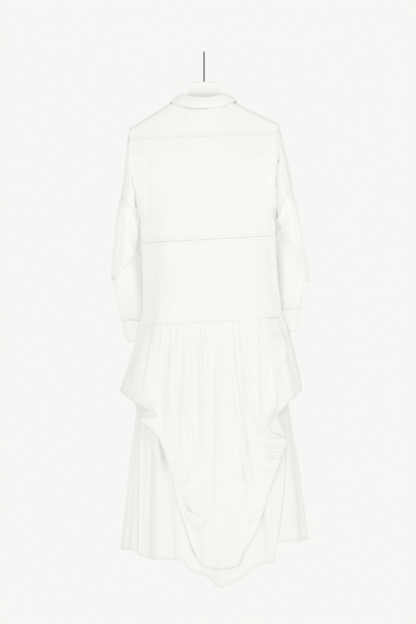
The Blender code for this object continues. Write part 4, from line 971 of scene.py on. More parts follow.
# %% [markdown]
# ## The underskirt
# Two flared panels hang inside the overskirt. Their side seams lie behind the sides, so a strip of the
# front panel shows beside the back one. The back dips to a point. Place runs round the skirt: 0 at the
# left side, 1 at the back, 2 at the right side and 3 at the front. A first set of broad folds swings
# the whole skirt in and out, and a second adds the folds that show. The underskirt is made before the
# overskirt, because the overskirt lies on it.

# %% Tables of the underskirt
UNDERSKIRT = table(
    "drop left right corner back front",
    (755, 181, 225, 88, 76, 75.5),
    (860, 186, 232, 95, 84, 86),
    (1003, 194, 242, 115, 96, 100),
    (1200, 212.6, 273.6, 140, 110, 125),
    (1300, 222, 287.5, 150, 116, 137),
    (1420, 234, 302, 160, 122, 150),
    (1540, 242, 314, 165, 126, 155))
UNDER_INSIDE, TOP_FADE, UNDER_COMMON = 0.0024, 0.08, 1.380
UNDER_BROAD, UNDER_BROAD_SIZE = 0.0030, 0.060
UNDER_FINE, UNDER_FINE_SIZE = 0.0010, 0.022
UNDER_SEAMS = table(
    "drop left right",
    (772, 0.089, 1.955),
    (1420, 0.25, 1.628),
    (1540, 0.28, 1.567), plain="left right")
UNDER_BACK_HEM = table(
    "share drop",
    (0, 1434),
    (0.08, 1444),
    (0.24, 1446),
    (0.34, 1473),
    (0.46, 1484),
    (0.56, 1490),
    (0.655, 1521),
    (0.675, 1525),
    (0.695, 1521),
    (0.84, 1498),
    (0.93, 1465),
    (1, 1451), plain="share")
UNDER_FRONT_HEM = table(
    "share drop",
    (0, 1396.5),
    (0.15, 1396.5),
    (0.5, 1405),
    (0.87, 1422),
    (1, 1422), plain="share")
BROAD_FOLDS = table(
    "top hem height width",
    (-0.02, -0.1, -5, 0.07),
    (0.05, 0.1, 6, 0.08),
    (0.4, 0.52, 6, 0.16),
    (0.7, 0.78, -4, 0.08),
    (1.1, 1.12, 4, 0.2),
    (1.45, 1.35, -4, 0.1),
    (1.8, 1.76, 6, 0.1),
    (1.97, 1.9, -5, 0.07),
    (2.4, 2.4, 12, 0.14),
    (2.75, 2.72, 10, 0.12),
    (3.1, 3.12, 14, 0.15),
    (3.5, 3.5, 10, 0.12), plain="top hem width")
UNDER_BACK_FOLDS = table(
    FOLD,
    (1009, 1223, 1520, 173.9, 176.7, 179.6, -8, 6, 8, 0.1, 0.01),
    (1052, 1251, 1520, 156, 160, 164, -17, 12, 10, 0.3, 0.01),
    (1109, 1251, 1520, 127, 128, 131, 9, 15, 12, 0.3, 0.01),
    (1080, 1251, 1520, 121.1, 101.2, 80, -8, 9, 9, 0.1, 0.01),
    (1194, 1337, 1540, 79.8, 65.5, 52, 1, 10, 10, 0.3, 0.01),
    (1250, 1400, 1580, 44, 36, 24, 4.5, 15, 15, 0.3, 0.01),
    (1250, 1420, 1600, -25, -45, -62, 7, 16, 16, 0.3, 0.01),
    (1280, 1420, 1600, -90, -98, -105, -3, 12, 12, 0.3, 0.01),
    (1280, 1365, 1520, -193.8, -199.5, -202.4, -5, 5, 5, 0.4, 0.01),
    (1250, 1365, 1520, -160, -166, -169, -6, 7, 8, 0.4, 0.01),
    (1109, 1250, 1520, -186, -182, -184, 4.5, 9, 9, 0.3, 0.01), plain=FADES)
UNDER_STRIP_FOLDS = table(
    FOLD,
    (995, 1194, 1500, 191, 203.8, 223, -10, 6, 6, 0.1, 0.01),
    (995, 1194, 1500, 188, 196, 206, 5, 7, 6, 0.3, 0.01),
    (1009, 1194, 1500, -250.8, -265.1, -288, -6, 8, 8, 0.2, 0.01),
    (1009, 1110, 1300, -236.6, -238, -248, 4, 8, 8, 0.2, 0.4), plain=FADES)
print("underskirt folds:", len(BROAD_FOLDS["top"]) + len(UNDER_BACK_FOLDS["first"]))

# %% The underskirt's panels


def underskirt_point(place, level):
    """A point of the underskirt at a place round it and a level below the hip seam. The ring from the
    table takes over from the seam's own shape as exp(-level / TOP_FADE)."""
    place = np.mod(place, 4)
    at_back = place < 2
    c = np.where(at_back, 1 - place, place - 3)
    flat_c = np.linspace(-1, 1, 801)
    seams = {face: bodice_surface(face, flat_c, (4.0,))[0][0] for face in (BACK, FRONT)}
    seam = np.stack([np.where(at_back, np.interp(c, flat_c, seams[BACK][:, i]),
                              np.interp(c, flat_c, seams[FRONT][:, i])) for i in range(3)], axis=-1)
    seam[..., 0] *= 1 - UNDER_INSIDE / BODICE["right"][-1]
    seam[..., 1] *= 1 - UNDER_INSIDE / BODICE["back"][-1]
    top = -seam[..., 2]
    face = np.where(at_back, BACK, FRONT)
    x, y = level_ring(UNDERSKIRT, face, c, top + level)
    start_x, start_y = level_ring(UNDERSKIRT, face, c, top)
    fade = np.exp(-level / TOP_FADE)
    x = x + (seam[..., 0] - start_x) * fade
    y = face * (y + (np.abs(seam[..., 1]) - start_y) * fade)
    reach = np.clip(level / (UNDER_COMMON - HIP_DROP), 0, 1.2)
    lift = 0 * x
    for first, last, tall, width in zip(*BROAD_FOLDS.values()):
        away = (np.mod(place - first - (last - first) * reach + 2, 4) - 2) / width
        lift += tall * bell(away) * reach
    out = 1 + lift / np.hypot(x, y)
    return np.stack([x * out, y * out, -top - level], axis=-1), top


def underskirt_surface(first_seam, last_seam, hem, columns, rows):
    """Points of a panel between two side seams, whose places shift with the drop."""
    turn = 4 if last_seam == "left" else 0
    share, down = np.meshgrid(columns, rows)
    hem_drop = read(hem, "drop", share)
    level = down * (hem_drop - HIP_DROP)
    for _ in range(5):
        first = read(UNDER_SEAMS, first_seam, HIP_DROP + level)
        last = read(UNDER_SEAMS, last_seam, HIP_DROP + level) + turn
        points, top = underskirt_point(first + (last - first) * share, level)
        level = down * (hem_drop - top[-1][None])
    return points, share


def underskirt_piece(name, points, share, height, seed):
    """A panel with its folds, broad and fine ripples and its hem, held still at its sides."""
    drop, across, fallen = -points[..., 2], run_across(points), run_down(points)
    to_hem, to_side = fallen[-1] - fallen, np.minimum(share, 1 - share)
    ripple = UNDER_BROAD * ripples(across, drop * 0.35, UNDER_BROAD_SIZE, seed)
    ripple += UNDER_FINE * ripples(across, drop * 0.6, UNDER_FINE_SIZE, seed + 1)
    height += ripple * smooth(fallen / 0.1)
    height += hem_height(to_hem, across)
    height *= 1 - 0.8 * np.exp(-to_side / 0.02)
    height -= 0.0010 * np.exp(-to_side / 0.004)
    points = raised(points, height * smooth(fallen / 0.08))
    piece = cloth_piece(name, points, skirt_cloth, edge=to_hem)
    return points


# %% Back and front of the underskirt
points, share = underskirt_surface("left", "right", UNDER_BACK_HEM, eased(131, 0, 1, 0.3),
                                   eased(170, 0, 1, 0.35))
height = folds(-points[..., 2], points[..., 0], UNDER_BACK_FOLDS)
under_back = underskirt_piece("underskirt_back_cloth", points, share, height, seed=81)
points, share = underskirt_surface("right", "left", UNDER_FRONT_HEM, eased(191, 0, 1, 0.3),
                                   eased(160, 0, 1, 0.35))
height = folds(-points[..., 2], points[..., 0], UNDER_STRIP_FOLDS) * smooth(points[..., 1] / 0.02 + 1)
underskirt_piece("underskirt_front_cloth", points, share, height, seed=91)

# %% [markdown]
# ## The overskirt
# Its cloth is gathered into the hip seam. Tight little pleats open out below the seam and run on as
# long soft folds. At both sides the back is caught up: its hem doubles back under a flap, and from
# there the middle hangs as a long, puffed tongue, with swags swinging down from the caught-up places.
# The panel's points run by the share of its width and the way down it. Long folds are placed by drop
# and x, because they hang, and the swags by x and drop, because they cross. The folds of the flaps
# and of the front run down the panel at shares of its width.

# %% Tables of the overskirt
HEM = "share x y drop swell fold_x fold_y"
OVER_BACK_HEM = table(
    HEM,
    (0, 242, 0.6, 969, 2, 0, 0),
    (0.025, 237, 36, 973, 2, 0, 0),
    (0.05, 223, 68, 983, 2.2, 0, 0),
    (0.075, 205, 90, 997, 2.5, 0, 4),
    (0.1, 187, 102, 1016, 3, -17, 25),
    (0.125, 171, 107, 1037, 3, -37, 36),
    (0.175, 150, 110, 1052, 2, 32, -16),
    (0.225, 125.4, 108, 1109, 2, 0, 0),
    (0.25, 106, 114, 1165, 2, 0, 0),
    (0.275, 84, 122, 1235, 2, 0, 0),
    (0.3, 80, 124.5, 1265, 2, 0, 0),
    (0.35, 55, 127.5, 1345, 2, 0, 0),
    (0.375, 31, 128.5, 1416, 2, 0, 0),
    (0.425, -3, 133, 1465, 2, 0, 0),
    (0.5, -45, 135, 1470, 2, 0, 0),
    (0.6, -91, 131, 1465, 2, 0, 0),
    (0.65, -116, 128.5, 1420, 2, 0, 0),
    (0.675, -148, 126.5, 1371, 2, 0, 0),
    (0.725, -178, 119.5, 1272, 2, -2, 0),
    (0.775, -198, 111, 1180, 2, -14, -8),
    (0.825, -213, 106, 1111.5, 2, -23.6, -24),
    (0.875, -226, 108, 1066, 3, 44, 35),
    (0.9, -234, 103, 1034, 3, 26, 25),
    (0.925, -244, 92, 1008, 2.5, 10, 12),
    (0.975, -272, 40, 974, 2, 0, 0),
    (1, -282, 0.6, 966, 2, 0, 0), plain="share swell")
OVER_FRONT_HEM = table(
    HEM,
    (0, 242, -0.6, 969, 2, 0, 0),
    (0.08, 232, -50, 972, 2, 0, 0),
    (0.2, 165, -112, 1022, 2, 0, 0),
    (0.5, -10, -150, 1100, 2, 0, 0),
    (0.8, -200, -116, 1022, 2, 0, 0),
    (0.92, -270, -50, 972, 2, 0, 0),
    (1, -282, -0.6, 966, 2, 0, 0), plain="share swell")

# %% Folds of the overskirt
FOLD_RISE = 7.0
SPREAD_LEFT, SPREAD_RIGHT = 1.2, 0.7
TONGUE_FOLDS = table(
    FOLD,
    (745, 806, 858, 152.5, 151.6, 155.3, -4.5, 4, 4, 0.02, 0.6),
    (745, 809, 869, 129.7, 129.7, 135.4, -4.5, 4, 4, 0.02, 0.6),
    (745, 881, 1114, 108.3, 116.3, 118.3, -8.5, 7, 6, 0.02, 0.3),
    (745, 886, 1000, 98.3, 102.6, 114, -5.5, 6, 4, 0.02, 0.5),
    (745, 806, 858, 86.9, 84.1, 82.7, -4, 4, 4, 0.02, 0.6),
    (745, 898, 1171, 58.4, 67.5, 74.1, -9, 8, 6, 0.02, 0.3),
    (745, 909, 1194, 34.8, 42.2, 49.9, -7.5, 6, 5, 0.02, 0.4),
    (745, 915, 1171, 24.2, 21.9, 10, -8, 6, 6, 0.02, 0.4),
    (745, 806, 858, 1.4, 0, 0, -3.5, 4, 4, 0.02, 0.6),
    (745, 806, 852, -14.3, -15.1, -17.1, -5, 4, 3, 0.02, 0.5),
    (745, 1052, 1377, -25.6, -24.5, -22.8, -11, 8, 6, 0.02, 0.25),
    (745, 824, 923, -44.2, -45.6, -51.3, -5.5, 4, 5, 0.02, 0.5),
    (745, 938, 1137, -58.4, -77, -101.2, -9, 7, 5, 0.02, 0.3),
    (745, 955, 1263, -69.8, -92.6, -149.6, -9.5, 7, 6, 0.02, 0.2),
    (745, 838, 898, -91.2, -96.9, -102.6, -5.5, 4, 4, 0.02, 0.5),
    (1109, 1188, 1263, -96.9, -106.9, -122.6, -6, 6, 5, 0.3, 0.3),
    (745, 801, 852, -112.6, -114, -116.9, -4, 4, 4, 0.02, 0.6),
    (745, 926, 1126, -126.8, -146.8, -159.6, -13, 9, 9, 0.02, 0.25),
    (745, 838, 915, -145.4, -153.9, -159.6, -6.5, 5, 4, 0.02, 0.5),
    (745, 812, 892, -168.1, -169.6, -172.4, -4.5, 4, 4, 0.02, 0.6),
    (745, 852, 943, -189.5, -198.1, -225.2, -8.5, 6, 5, 0.02, 0.3),
    (784, 844, 903, -239.4, -240.3, -220.9, -6.5, 5, 6, 0.3, 0.3),
    (795, 841, 886, -216.6, -218, -216.6, 11, 13, 14, 0.3, 0.4),
    (920, 966, 1009, -196.7, -206.6, -219.5, -4.5, 7, 6, 0.4, 0.4),
    (824, 938, 1080, 89.8, 92.6, 94.1, 5, 10, 12, 0.2, 0.5),
    (852, 995, 1151, 51.3, 57, 61.3, 4.5, 7, 7, 0.2, 0.5),
    (795, 966, 1194, -2.9, -4.3, -7.1, 6.5, 10, 9, 0.1, 0.5),
    (938, 1080, 1223, -44.2, -52.7, -62.7, 6, 12, 12, 0.3, 0.5),
    (858, 966, 1097, -111.1, -122.6, -138.2, 7.5, 9, 10, 0.2, 0.4),
    (1109, 1194, 1280, -126.8, -128.3, -136.8, 6.5, 10, 10, 0.3, 0.4),
    (824, 938, 1052, -176.7, -182.4, -188.1, 5.5, 10, 9, 0.2, 0.4),
    (1257, 1302, 1365, -52.7, -57, -71.3, -5.5, 6, 6, 0.3, 0.4), plain=FADES)
SWAGS = table(
    FOLD,
    (-40, 20, 90, 1345, 1315, 1270, 12, 42, 42, 0.3, 0.3),
    (-16, 28.5, 83, 1343, 1314, 1262, -10, 10, 7, 0.2, 0.25),
    (-11.4, 22.8, 64, 1362, 1345, 1305, 8, 11, 9, 0.2, 0.3),
    (-3, 27, 60, 1391, 1388, 1372, -6, 11, 8, 0.2, 0.3),
    (11.4, 51.3, 85.5, 1194, 1223, 1254, 4.5, 10, 12, 0.3, 0.3),
    (68.4, 94.1, 116.9, 1194, 1169, 1146, 5, 9, 9, 0.2, 0.2),
    (77, 94.1, 111.1, 1211, 1200, 1188, -2, 5, 5, 0.3, 0.3),
    (-233.7, -199.5, -162.5, 1104, 1103, 1100, 2.6, 4, 4, 0.1, 0.4),
    (-233.7, -199.5, -162.5, 1117, 1117, 1117, -2.4, 4, 4, 0.1, 0.4),
    (-230.8, -199.5, -165.3, 1130, 1129, 1126, 2.6, 4, 4, 0.1, 0.4),
    (-225.2, -196.7, -165.3, 1140, 1140, 1137, -2.2, 3.5, 3.5, 0.1, 0.4),
    (-219.5, -191, -159.6, 1161, 1160, 1151, 5, 10, 10, 0.1, 0.4),
    (-208.1, -182.4, -153.9, 1194, 1191, 1188, -2.5, 6, 6, 0.2, 0.4),
    (-151.1, -134, -119.7, 1337, 1339, 1342, 5, 7, 9, 0.3, 0.3),
    (-153.9, -136.8, -119.7, 1362, 1362, 1365, -2, 4, 4, 0.3, 0.3),
    (-91.2, -71.3, -48.5, 1357, 1354, 1351, -4.5, 6, 4, 0.3, 0.3),
    (-102.6, -79.8, -54.2, 1211, 1211, 1211, -3.5, 6, 6, 0.4, 0.4),
    (-11.4, 11.4, 34.2, 1408, 1422, 1439, 9, 12, 14, 0.3, 0.3),
    (-110, -85, -60, 1400, 1425, 1440, 6, 12, 12, 0.3, 0.3), plain=FADES)
FLAP_FOLDS = table(
    FOLD,
    (-0.05, 0.35, 0.8, 0.04, 0.036, 0.034, -5, 0.008, 0.01, 0.02, 0.4),
    (-0.05, 0.45, 0.95, 0.07, 0.066, 0.062, 5, 0.01, 0.01, 0.02, 0.3),
    (-0.05, 0.4, 0.9, 0.098, 0.096, 0.094, -4.5, 0.008, 0.008, 0.02, 0.3),
    (-0.05, 0.4, 0.9, 0.905, 0.908, 0.912, -5, 0.008, 0.008, 0.02, 0.3),
    (0.2, 0.6, 1.05, 0.935, 0.938, 0.945, 5.5, 0.01, 0.01, 0.3, 0.1),
    (-0.05, 0.35, 0.85, 0.96, 0.962, 0.965, -4.5, 0.008, 0.008, 0.02, 0.4), plain=ALL_BUT_HEIGHT)
FRONT_SKIRT_FOLDS = table(
    FOLD,
    (-0.05, 0.5, 1.1, 0.16, 0.15, 0.14, -8, 0.016, 0.02, 0.02, 0.1),
    (-0.05, 0.55, 1.1, 0.25, 0.25, 0.24, 6, 0.024, 0.02, 0.02, 0.1),
    (-0.05, 0.45, 0.95, 0.33, 0.33, 0.34, -8, 0.018, 0.014, 0.02, 0.2),
    (-0.05, 0.5, 1.1, 0.44, 0.43, 0.42, -7, 0.016, 0.018, 0.02, 0.1),
    (-0.05, 0.5, 1.1, 0.52, 0.52, 0.53, 7, 0.024, 0.024, 0.02, 0.1),
    (-0.05, 0.5, 1.1, 0.61, 0.62, 0.63, -8.5, 0.018, 0.016, 0.02, 0.1),
    (-0.05, 0.45, 0.9, 0.7, 0.7, 0.71, -6, 0.014, 0.016, 0.02, 0.3),
    (-0.05, 0.5, 1.1, 0.79, 0.8, 0.82, -8, 0.018, 0.016, 0.02, 0.1),
    (-0.05, 0.5, 1.1, 0.9, 0.91, 0.92, 6, 0.02, 0.02, 0.02, 0.1), plain=ALL_BUT_HEIGHT)
print("overskirt folds:", len(TONGUE_FOLDS["first"]) + len(SWAGS["first"]) + len(FLAP_FOLDS["first"]))

# %% [markdown]
# The swell column says how soon the cloth stands away from the body, and spread how soon it leaves the
# seam's place sideways. The gathers are a sine of the share with a wandering phase, so that no two
# are alike. Most of a gather fades within a hand's breadth, and the rest runs on with the long folds.
# A tongue that only hung in the air would float over the underskirt, so its rim is laid down: near the
# hem its points are pulled to the surface below, and nowhere may they pass through it.

# %% The overskirt's panels
CLEAR, SOFT = 0.0014, 0.0012
SQUARE, NET_SHAPE, NET_SHIFT, NET_START = 0.003, (280, 560), 0.42, 0.05
LAID_REACH, LAID_MOST, LAID_EASE = 0.026, 0.95, 0.03
LAID_FROM, LAID_TO = 0.245, 0.765                   # shares of the panel's width
TONGUE_FROM, TONGUE_TO, TONGUE_DOWN = 0.170, 0.830, 0.75
GATHER_START, GATHER_WANDER = 0.004, 2.4
GATHER_FADES = ((0.56, 0.034), (0.44, 0.210))       # share of the height, and its reach down the cloth


def overskirt_surface(face, hem, columns, rows):
    """Points of a panel, with its share across and its way down, from the hip seam to its hem."""
    share, down = np.meshgrid(columns, rows)
    seam = bodice_surface(face, 1 - 2 * columns, (4.0,))[0]
    end = np.stack([read(hem, "x", share), read(hem, "y", share), -read(hem, "drop", share)], axis=2)
    spread = down ** (SPREAD_LEFT + (SPREAD_RIGHT - SPREAD_LEFT) * share)
    swell = 1 - (1 - down) ** read(hem, "swell", share)
    caught = down ** FOLD_RISE
    x = seam[..., 0] + (end[..., 0] - seam[..., 0]) * spread + read(hem, "fold_x", share) * caught
    y = seam[..., 1] + (end[..., 1] - seam[..., 1]) * swell + read(hem, "fold_y", share) * caught
    z = seam[..., 2] + (end[..., 2] - seam[..., 2]) * down
    return np.stack([x, y, z], axis=2), share, down


def lie_over(points, below, held):
    """Points moved out in y, where they must, to lie clear of a sheet below them, and laid down on it
    by the share held. Its largest y is noted on a net of small squares, spread to the squares beside,
    smoothed, and met by a soft maximum."""
    net = np.full(NET_SHAPE, -1.0)
    at = ((below[..., [0, 2]] * [1, -1] + [NET_SHIFT, 0]) / SQUARE).astype(int)
    np.maximum.at(net, (at[..., 0], at[..., 1]), below[..., 1])
    beside = [(i, j) for i in (-1, 0, 1) for j in (-1, 0, 1)]
    for gather in (np.max, np.mean):
        net = gather([np.roll(net, step, (0, 1)) for step in beside], axis=0)
    u, v = (points[..., 0] + NET_SHIFT) / SQUARE - 0.5, -points[..., 2] / SQUARE - 0.5
    i, j = np.floor(u).astype(int), np.floor(v).astype(int)
    low = between(net, i, j, u - i, v - j) + CLEAR
    moved = points.copy()
    y = points[..., 1] + (low - points[..., 1]) * held * (low > NET_START)
    moved[..., 1] = low + SOFT * np.logaddexp(0, (y - low) / SOFT)
    return moved


def nearest(points, line):
    """Distance from each point to the nearest point of a line, row by row to spare memory."""
    return np.stack([np.linalg.norm(row[:, None] - line[None], axis=2).min(axis=1) for row in points])


def gathers(share, fallen, count, seed):
    """Tight pleats under a seam: a sine whose phase and height wander, fading with the distance."""
    phase = 2 * np.pi * count * share + GATHER_WANDER * ripples(share * 9, 0 * share, 1, seed)
    strength = 0.65 + 0.35 * ripples(share * 14, 0 * share, 1, seed + 1)
    fade = sum(part * np.exp(-fallen / reach) for part, reach in GATHER_FADES)
    return np.sin(phase) * strength * fade * smooth(fallen / GATHER_START)


def overskirt_cloth(points, share, height, pleats, tall, ripple, seed):
    """The panel's points with its folds, gathers, ripples and hem, and their distance from the hem.
    The hip seam and the sides hold the cloth still."""
    fallen = run_down(points)
    to_hem = fallen[-1] - fallen
    height += tall * gathers(share, fallen, pleats, seed)
    uneven = ripples(share * 1.1, -points[..., 2] * 0.45, 0.045, seed + 1)
    height += ripple * uneven * smooth(fallen / 0.05) + hem_height(to_hem, share)
    height *= smooth(fallen / GATHER_START + 0.15)
    height *= 1 - 0.6 * np.exp(-np.minimum(share, 1 - share) / 0.008)
    return raised(points, height), to_hem


# %% The back panel
rows = np.concatenate([eased(24, 0, 0.06, 0.5)[:-1], eased(160, 0.06, 1, 0.35)])
points, share, down = overskirt_surface(BACK, OVER_BACK_HEM, np.linspace(0, 1, 241), rows)
x, drop, fallen = points[..., 0], -points[..., 2], run_down(points)
middle = smooth((share - TONGUE_FROM) / LAID_EASE) * smooth((TONGUE_TO - share) / LAID_EASE)
middle = np.maximum(middle, smooth((TONGUE_DOWN - down) / 0.25))
height = (folds(drop, x, TONGUE_FOLDS) + folds(x, drop, SWAGS)) * middle * smooth(fallen / 0.026 + 0.06)
height += folds(down, share, FLAP_FOLDS)
height += 0.0007 * ripples(x, drop * 0.5, 0.020, 63) * smooth(fallen / 0.04)
points, to_hem = overskirt_cloth(points, share, height, pleats=40, tall=0.0037, ripple=0.0020, seed=61)
off_rim = nearest(points[..., [0, 2]], points[-1][:, [0, 2]])
on_tongue = smooth((share - LAID_FROM) / LAID_EASE) * smooth((LAID_TO - share) / LAID_EASE)
points = lie_over(points, under_back, LAID_MOST * bell(off_rim / LAID_REACH) * on_tongue)
over_back = cloth_piece("overskirt_back_cloth", points, skirt_cloth, edge=to_hem)

# %% The front panel
rows = np.concatenate([eased(20, 0, 0.10, 0.5)[:-1], eased(82, 0.10, 1, 0.35)])
points, share, down = overskirt_surface(FRONT, OVER_FRONT_HEM, np.linspace(0, 1, 171), rows)
height = folds(down, share, FRONT_SKIRT_FOLDS)
points, to_hem = overskirt_cloth(points, share, height, pleats=42, tall=0.0030, ripple=0.0026, seed=71)
over_front = cloth_piece("overskirt_front_cloth", points, skirt_cloth, edge=to_hem)

# %% [markdown]
# ## Buttons
# A shirt button is a small moulded disc with a rim, a dished middle and four holes, sewn on with two
# stitches. It is one surface of two numbers, the angle and the way out from the centre, closed through
# its edge and underside. The holes are deep, narrow pits in that surface, and the thread is a short
# tube carried along an arch.

# %% Button and thread
BUTTON_RADIUS, BUTTON_THICK = 0.0055, 0.0024
BUTTON_COUNT, FIRST_BUTTON, BUTTON_SPACING = 7, 0.250, 0.078
HOLE_OUT, HOLE_RADIUS, HOLE_DEPTH = 0.0013, 0.00062, 0.0016
THREAD_RADIUS, THREAD_LOW, THREAD_ARCH = 0.00022, 0.0003, 0.0007
DIAGONAL = 0.7071
HOLE_AT = HOLE_OUT * DIAGONAL
PITS = [(i, j) for i in (-HOLE_AT, HOLE_AT) for j in (-HOLE_AT, HOLE_AT)]


def plain_material(name, colour, roughness, speckle, metallic=0.0, scale=900.0):
    """A moulded or drawn surface: slight clouds in its colour and gloss, and a fine grain."""
    material, tree, shader, place = new_material(name)
    shader["Metallic"].default_value = metallic
    fine, soft = (add_node(tree, "TexNoise", {"Scale": size, "Vector": place["Object"]}).outputs["Fac"]
                  for size in (scale, scale / 12))
    clouded = tuple(part * speckle for part in colour)
    connect(tree, mixed(tree, soft, colour, clouded), shader["Base Color"])
    rough = add_node(tree, "MapRange", {"To Min": roughness - 0.06, "To Max": roughness + 0.06,
                                        "Value": soft})
    connect(tree, rough.outputs["Result"], shader["Roughness"])
    connect(tree, bump(tree, fine, 0.00002), shader["Normal"])
    return material


button_finish = plain_material("button_shell", (0.86, 0.86, 0.84), 0.32, 0.94)
thread_finish = plain_material("sewing_thread", (0.88, 0.88, 0.86), 0.80, 0.92, scale=4000.0)


def button_surface():
    """Radius and height over a button: dished top with a rim and four pits, rounded edge, flat back."""
    angle = np.linspace(0, 2 * np.pi, 73)[:-1][None]
    out = np.linspace(0.02, 0.93, 34)[:, None]
    rim = smooth((out - 0.62) / 0.16)
    top = BUTTON_THICK / 2 * (0.62 + 0.38 * rim) - 0.0002 * smooth((out - 0.84) / 0.1)
    x, y = out * BUTTON_RADIUS * np.cos(angle), out * BUTTON_RADIUS * np.sin(angle)
    pit = sum(np.exp(-(np.hypot(x - i, y - j) / HOLE_RADIUS) ** 4) for i, j in PITS)
    face = np.stack([x, y, top - HOLE_DEPTH * pit], axis=2)
    lip = np.radians(np.linspace(70, -90, 12))[:, None]
    radius = BUTTON_RADIUS * 0.93 + BUTTON_RADIUS * 0.07 * np.cos(lip)
    edge = np.stack([radius * np.cos(angle), radius * np.sin(angle),
                     BUTTON_THICK / 2 * np.sin(lip) + 0 * angle], axis=2)
    inward = np.linspace(0.9, 0.02, 6)[:, None] * BUTTON_RADIUS
    under = np.stack([inward * np.cos(angle), inward * np.sin(angle),
                      0 * inward * angle - BUTTON_THICK / 2], axis=2)
    return np.concatenate([face, edge, under])


# %% [markdown]
# The thread of each stitch is a tube: a circle carried along an arch and closed at both ends. A button
# and its two stitches go into one mesh with two materials, and the whole is then turned so that its
# own up looks along the cloth's normal.

# %% Thread and sewing on


def tube(path, radius, around=8):
    """A closed tube along a path: a circle in the plane square to each stretch, shrunk at both ends."""
    ahead = np.gradient(path, axis=0)
    ahead /= np.linalg.norm(ahead, axis=1, keepdims=True)
    side = np.cross(ahead, [0.31, 0.17, 0.93])
    side /= np.linalg.norm(side, axis=1, keepdims=True)
    other = np.cross(ahead, side)
    angle = np.linspace(0, 2 * np.pi, around + 1)[:-1]
    size = np.full(len(path), radius)
    size[[0, -1]] *= 0.05
    ring = np.cos(angle)[None, :, None] * side[:, None] + np.sin(angle)[None, :, None] * other[:, None]
    return path[:, None] + ring * size[:, None, None]


def closed_faces(rows, columns, start=0):
    """Quads of a grid that closes on itself across, with a face over each end."""
    r, s = np.meshgrid(np.arange(rows - 1), np.arange(columns), indexing="ij")
    after = (s + 1) % columns
    quads = np.stack([r * columns + s, (r + 1) * columns + s, (r + 1) * columns + after,
                      r * columns + after], axis=2).reshape(-1, 4) + start
    first, last = start, start + rows * columns - 1
    return quads.tolist() + [list(range(first, first + columns)), list(range(last, last - columns, -1))]


def sewn_button(name, seat, normal, lift):
    """A button laid square to a normal, at a lift above its seat, with its thread."""
    normal = normal / np.linalg.norm(normal)
    side = np.cross([0, 0, 1], normal)
    side /= np.linalg.norm(side)
    turned = np.stack([side, np.cross(normal, side), normal])
    place = seat + normal * (lift + BUTTON_THICK / 2)
    t = np.linspace(0, 1, 9)
    grids = [button_surface()]
    for across in (-HOLE_AT, HOLE_AT):
        rise = THREAD_LOW + THREAD_ARCH * np.sin(np.pi * t)
        arch = np.stack([0 * t + across, HOLE_AT * (2 * t - 1), rise], axis=1)
        grids.append(tube(arch, THREAD_RADIUS))
    points, faces, index = [], [], []
    for number, grid in enumerate(grids):
        made = closed_faces(*grid.shape[:2], start=sum(len(part) for part in points))
        faces += made
        index += [min(number, 1)] * len(made)
        points.append((grid @ turned + place).reshape(-1, 3))
    mesh = bpy.data.meshes.new(name + "_sewn")
    mesh.from_pydata(np.concatenate(points), [], faces)
    show(mesh, [button_finish, thread_finish], name)
    mesh.polygons.foreach_set("material_index", index)


def on_grid(name, points, row, column, lift):
    """A button on a grid's point, turned along the grid's normal there, which looks forwards."""
    down = points[row + 2, column] - points[row - 2, column]
    across = points[row, column + 1] - points[row, column - 1]
    normal = np.cross(across, down)
    sewn_button(name, points[row, column], normal if normal[1] < 0 else -normal, lift)


centre = placket_points.shape[1] // 2
for number in range(BUTTON_COUNT):
    drop = FIRST_BUTTON + number * BUTTON_SPACING
    row = int(np.argmin(np.abs(-placket_points[:, centre, 2] - drop)))
    on_grid(f"button_{number + 1}", placket_points, row, centre, WALL / 2 + 0.0002)
on_grid("button_collar", stand_points, 6, FRONT_OF_STAND, 0.0009)
for side, cuff in cuffs.items():
    on_grid("button_cuff_" + side, cuff, 11, int(np.argmin(np.abs(degrees - 290))), 0.0011)
print("buttons:", BUTTON_COUNT + 3)

# %% [markdown]
# ## Hanger and hook
# The hanger is moulded plastic with a dark steel hook. Both are plain, firm shapes, so the loaded solids
# are right as they are and only get finishes: a satin white with fine grain, and a dark metal with a
# little unevenness in its gloss.

# %% Finishes of the hanger
hanger_finish = plain_material("hanger_plastic", (0.975, 0.975, 0.965), 0.45, 0.985, scale=500.0)
hook_finish = plain_material("dark_steel_wire", (0.055, 0.055, 0.062), 0.34, 0.7, metallic=1.0)
for solid, finish in (("hanger_body", hanger_finish), ("hanger_hook", hook_finish)):
    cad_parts[solid].data.materials.clear()
    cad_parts[solid].data.materials.append(finish)
print("finished:", hanger_finish.name, hook_finish.name)

# %% [markdown]
# ## Floor, light and camera
# The dress hangs in a bright, even studio. A pale world gives light from everywhere, which keeps the
# white high and the folds gentle. Four area lights add to it, two for the back and two for the front.
# The larger of two stands far off and square to the cloth, so that whatever turns aside gets less of
# it, which draws the outlines. The smaller is weak and stands to the side, which gives the folds
# their direction. The floor fades into the backdrop's colour within two steps, so there is no
# horizon. The camera has a long lens and looks square at the dress's back.

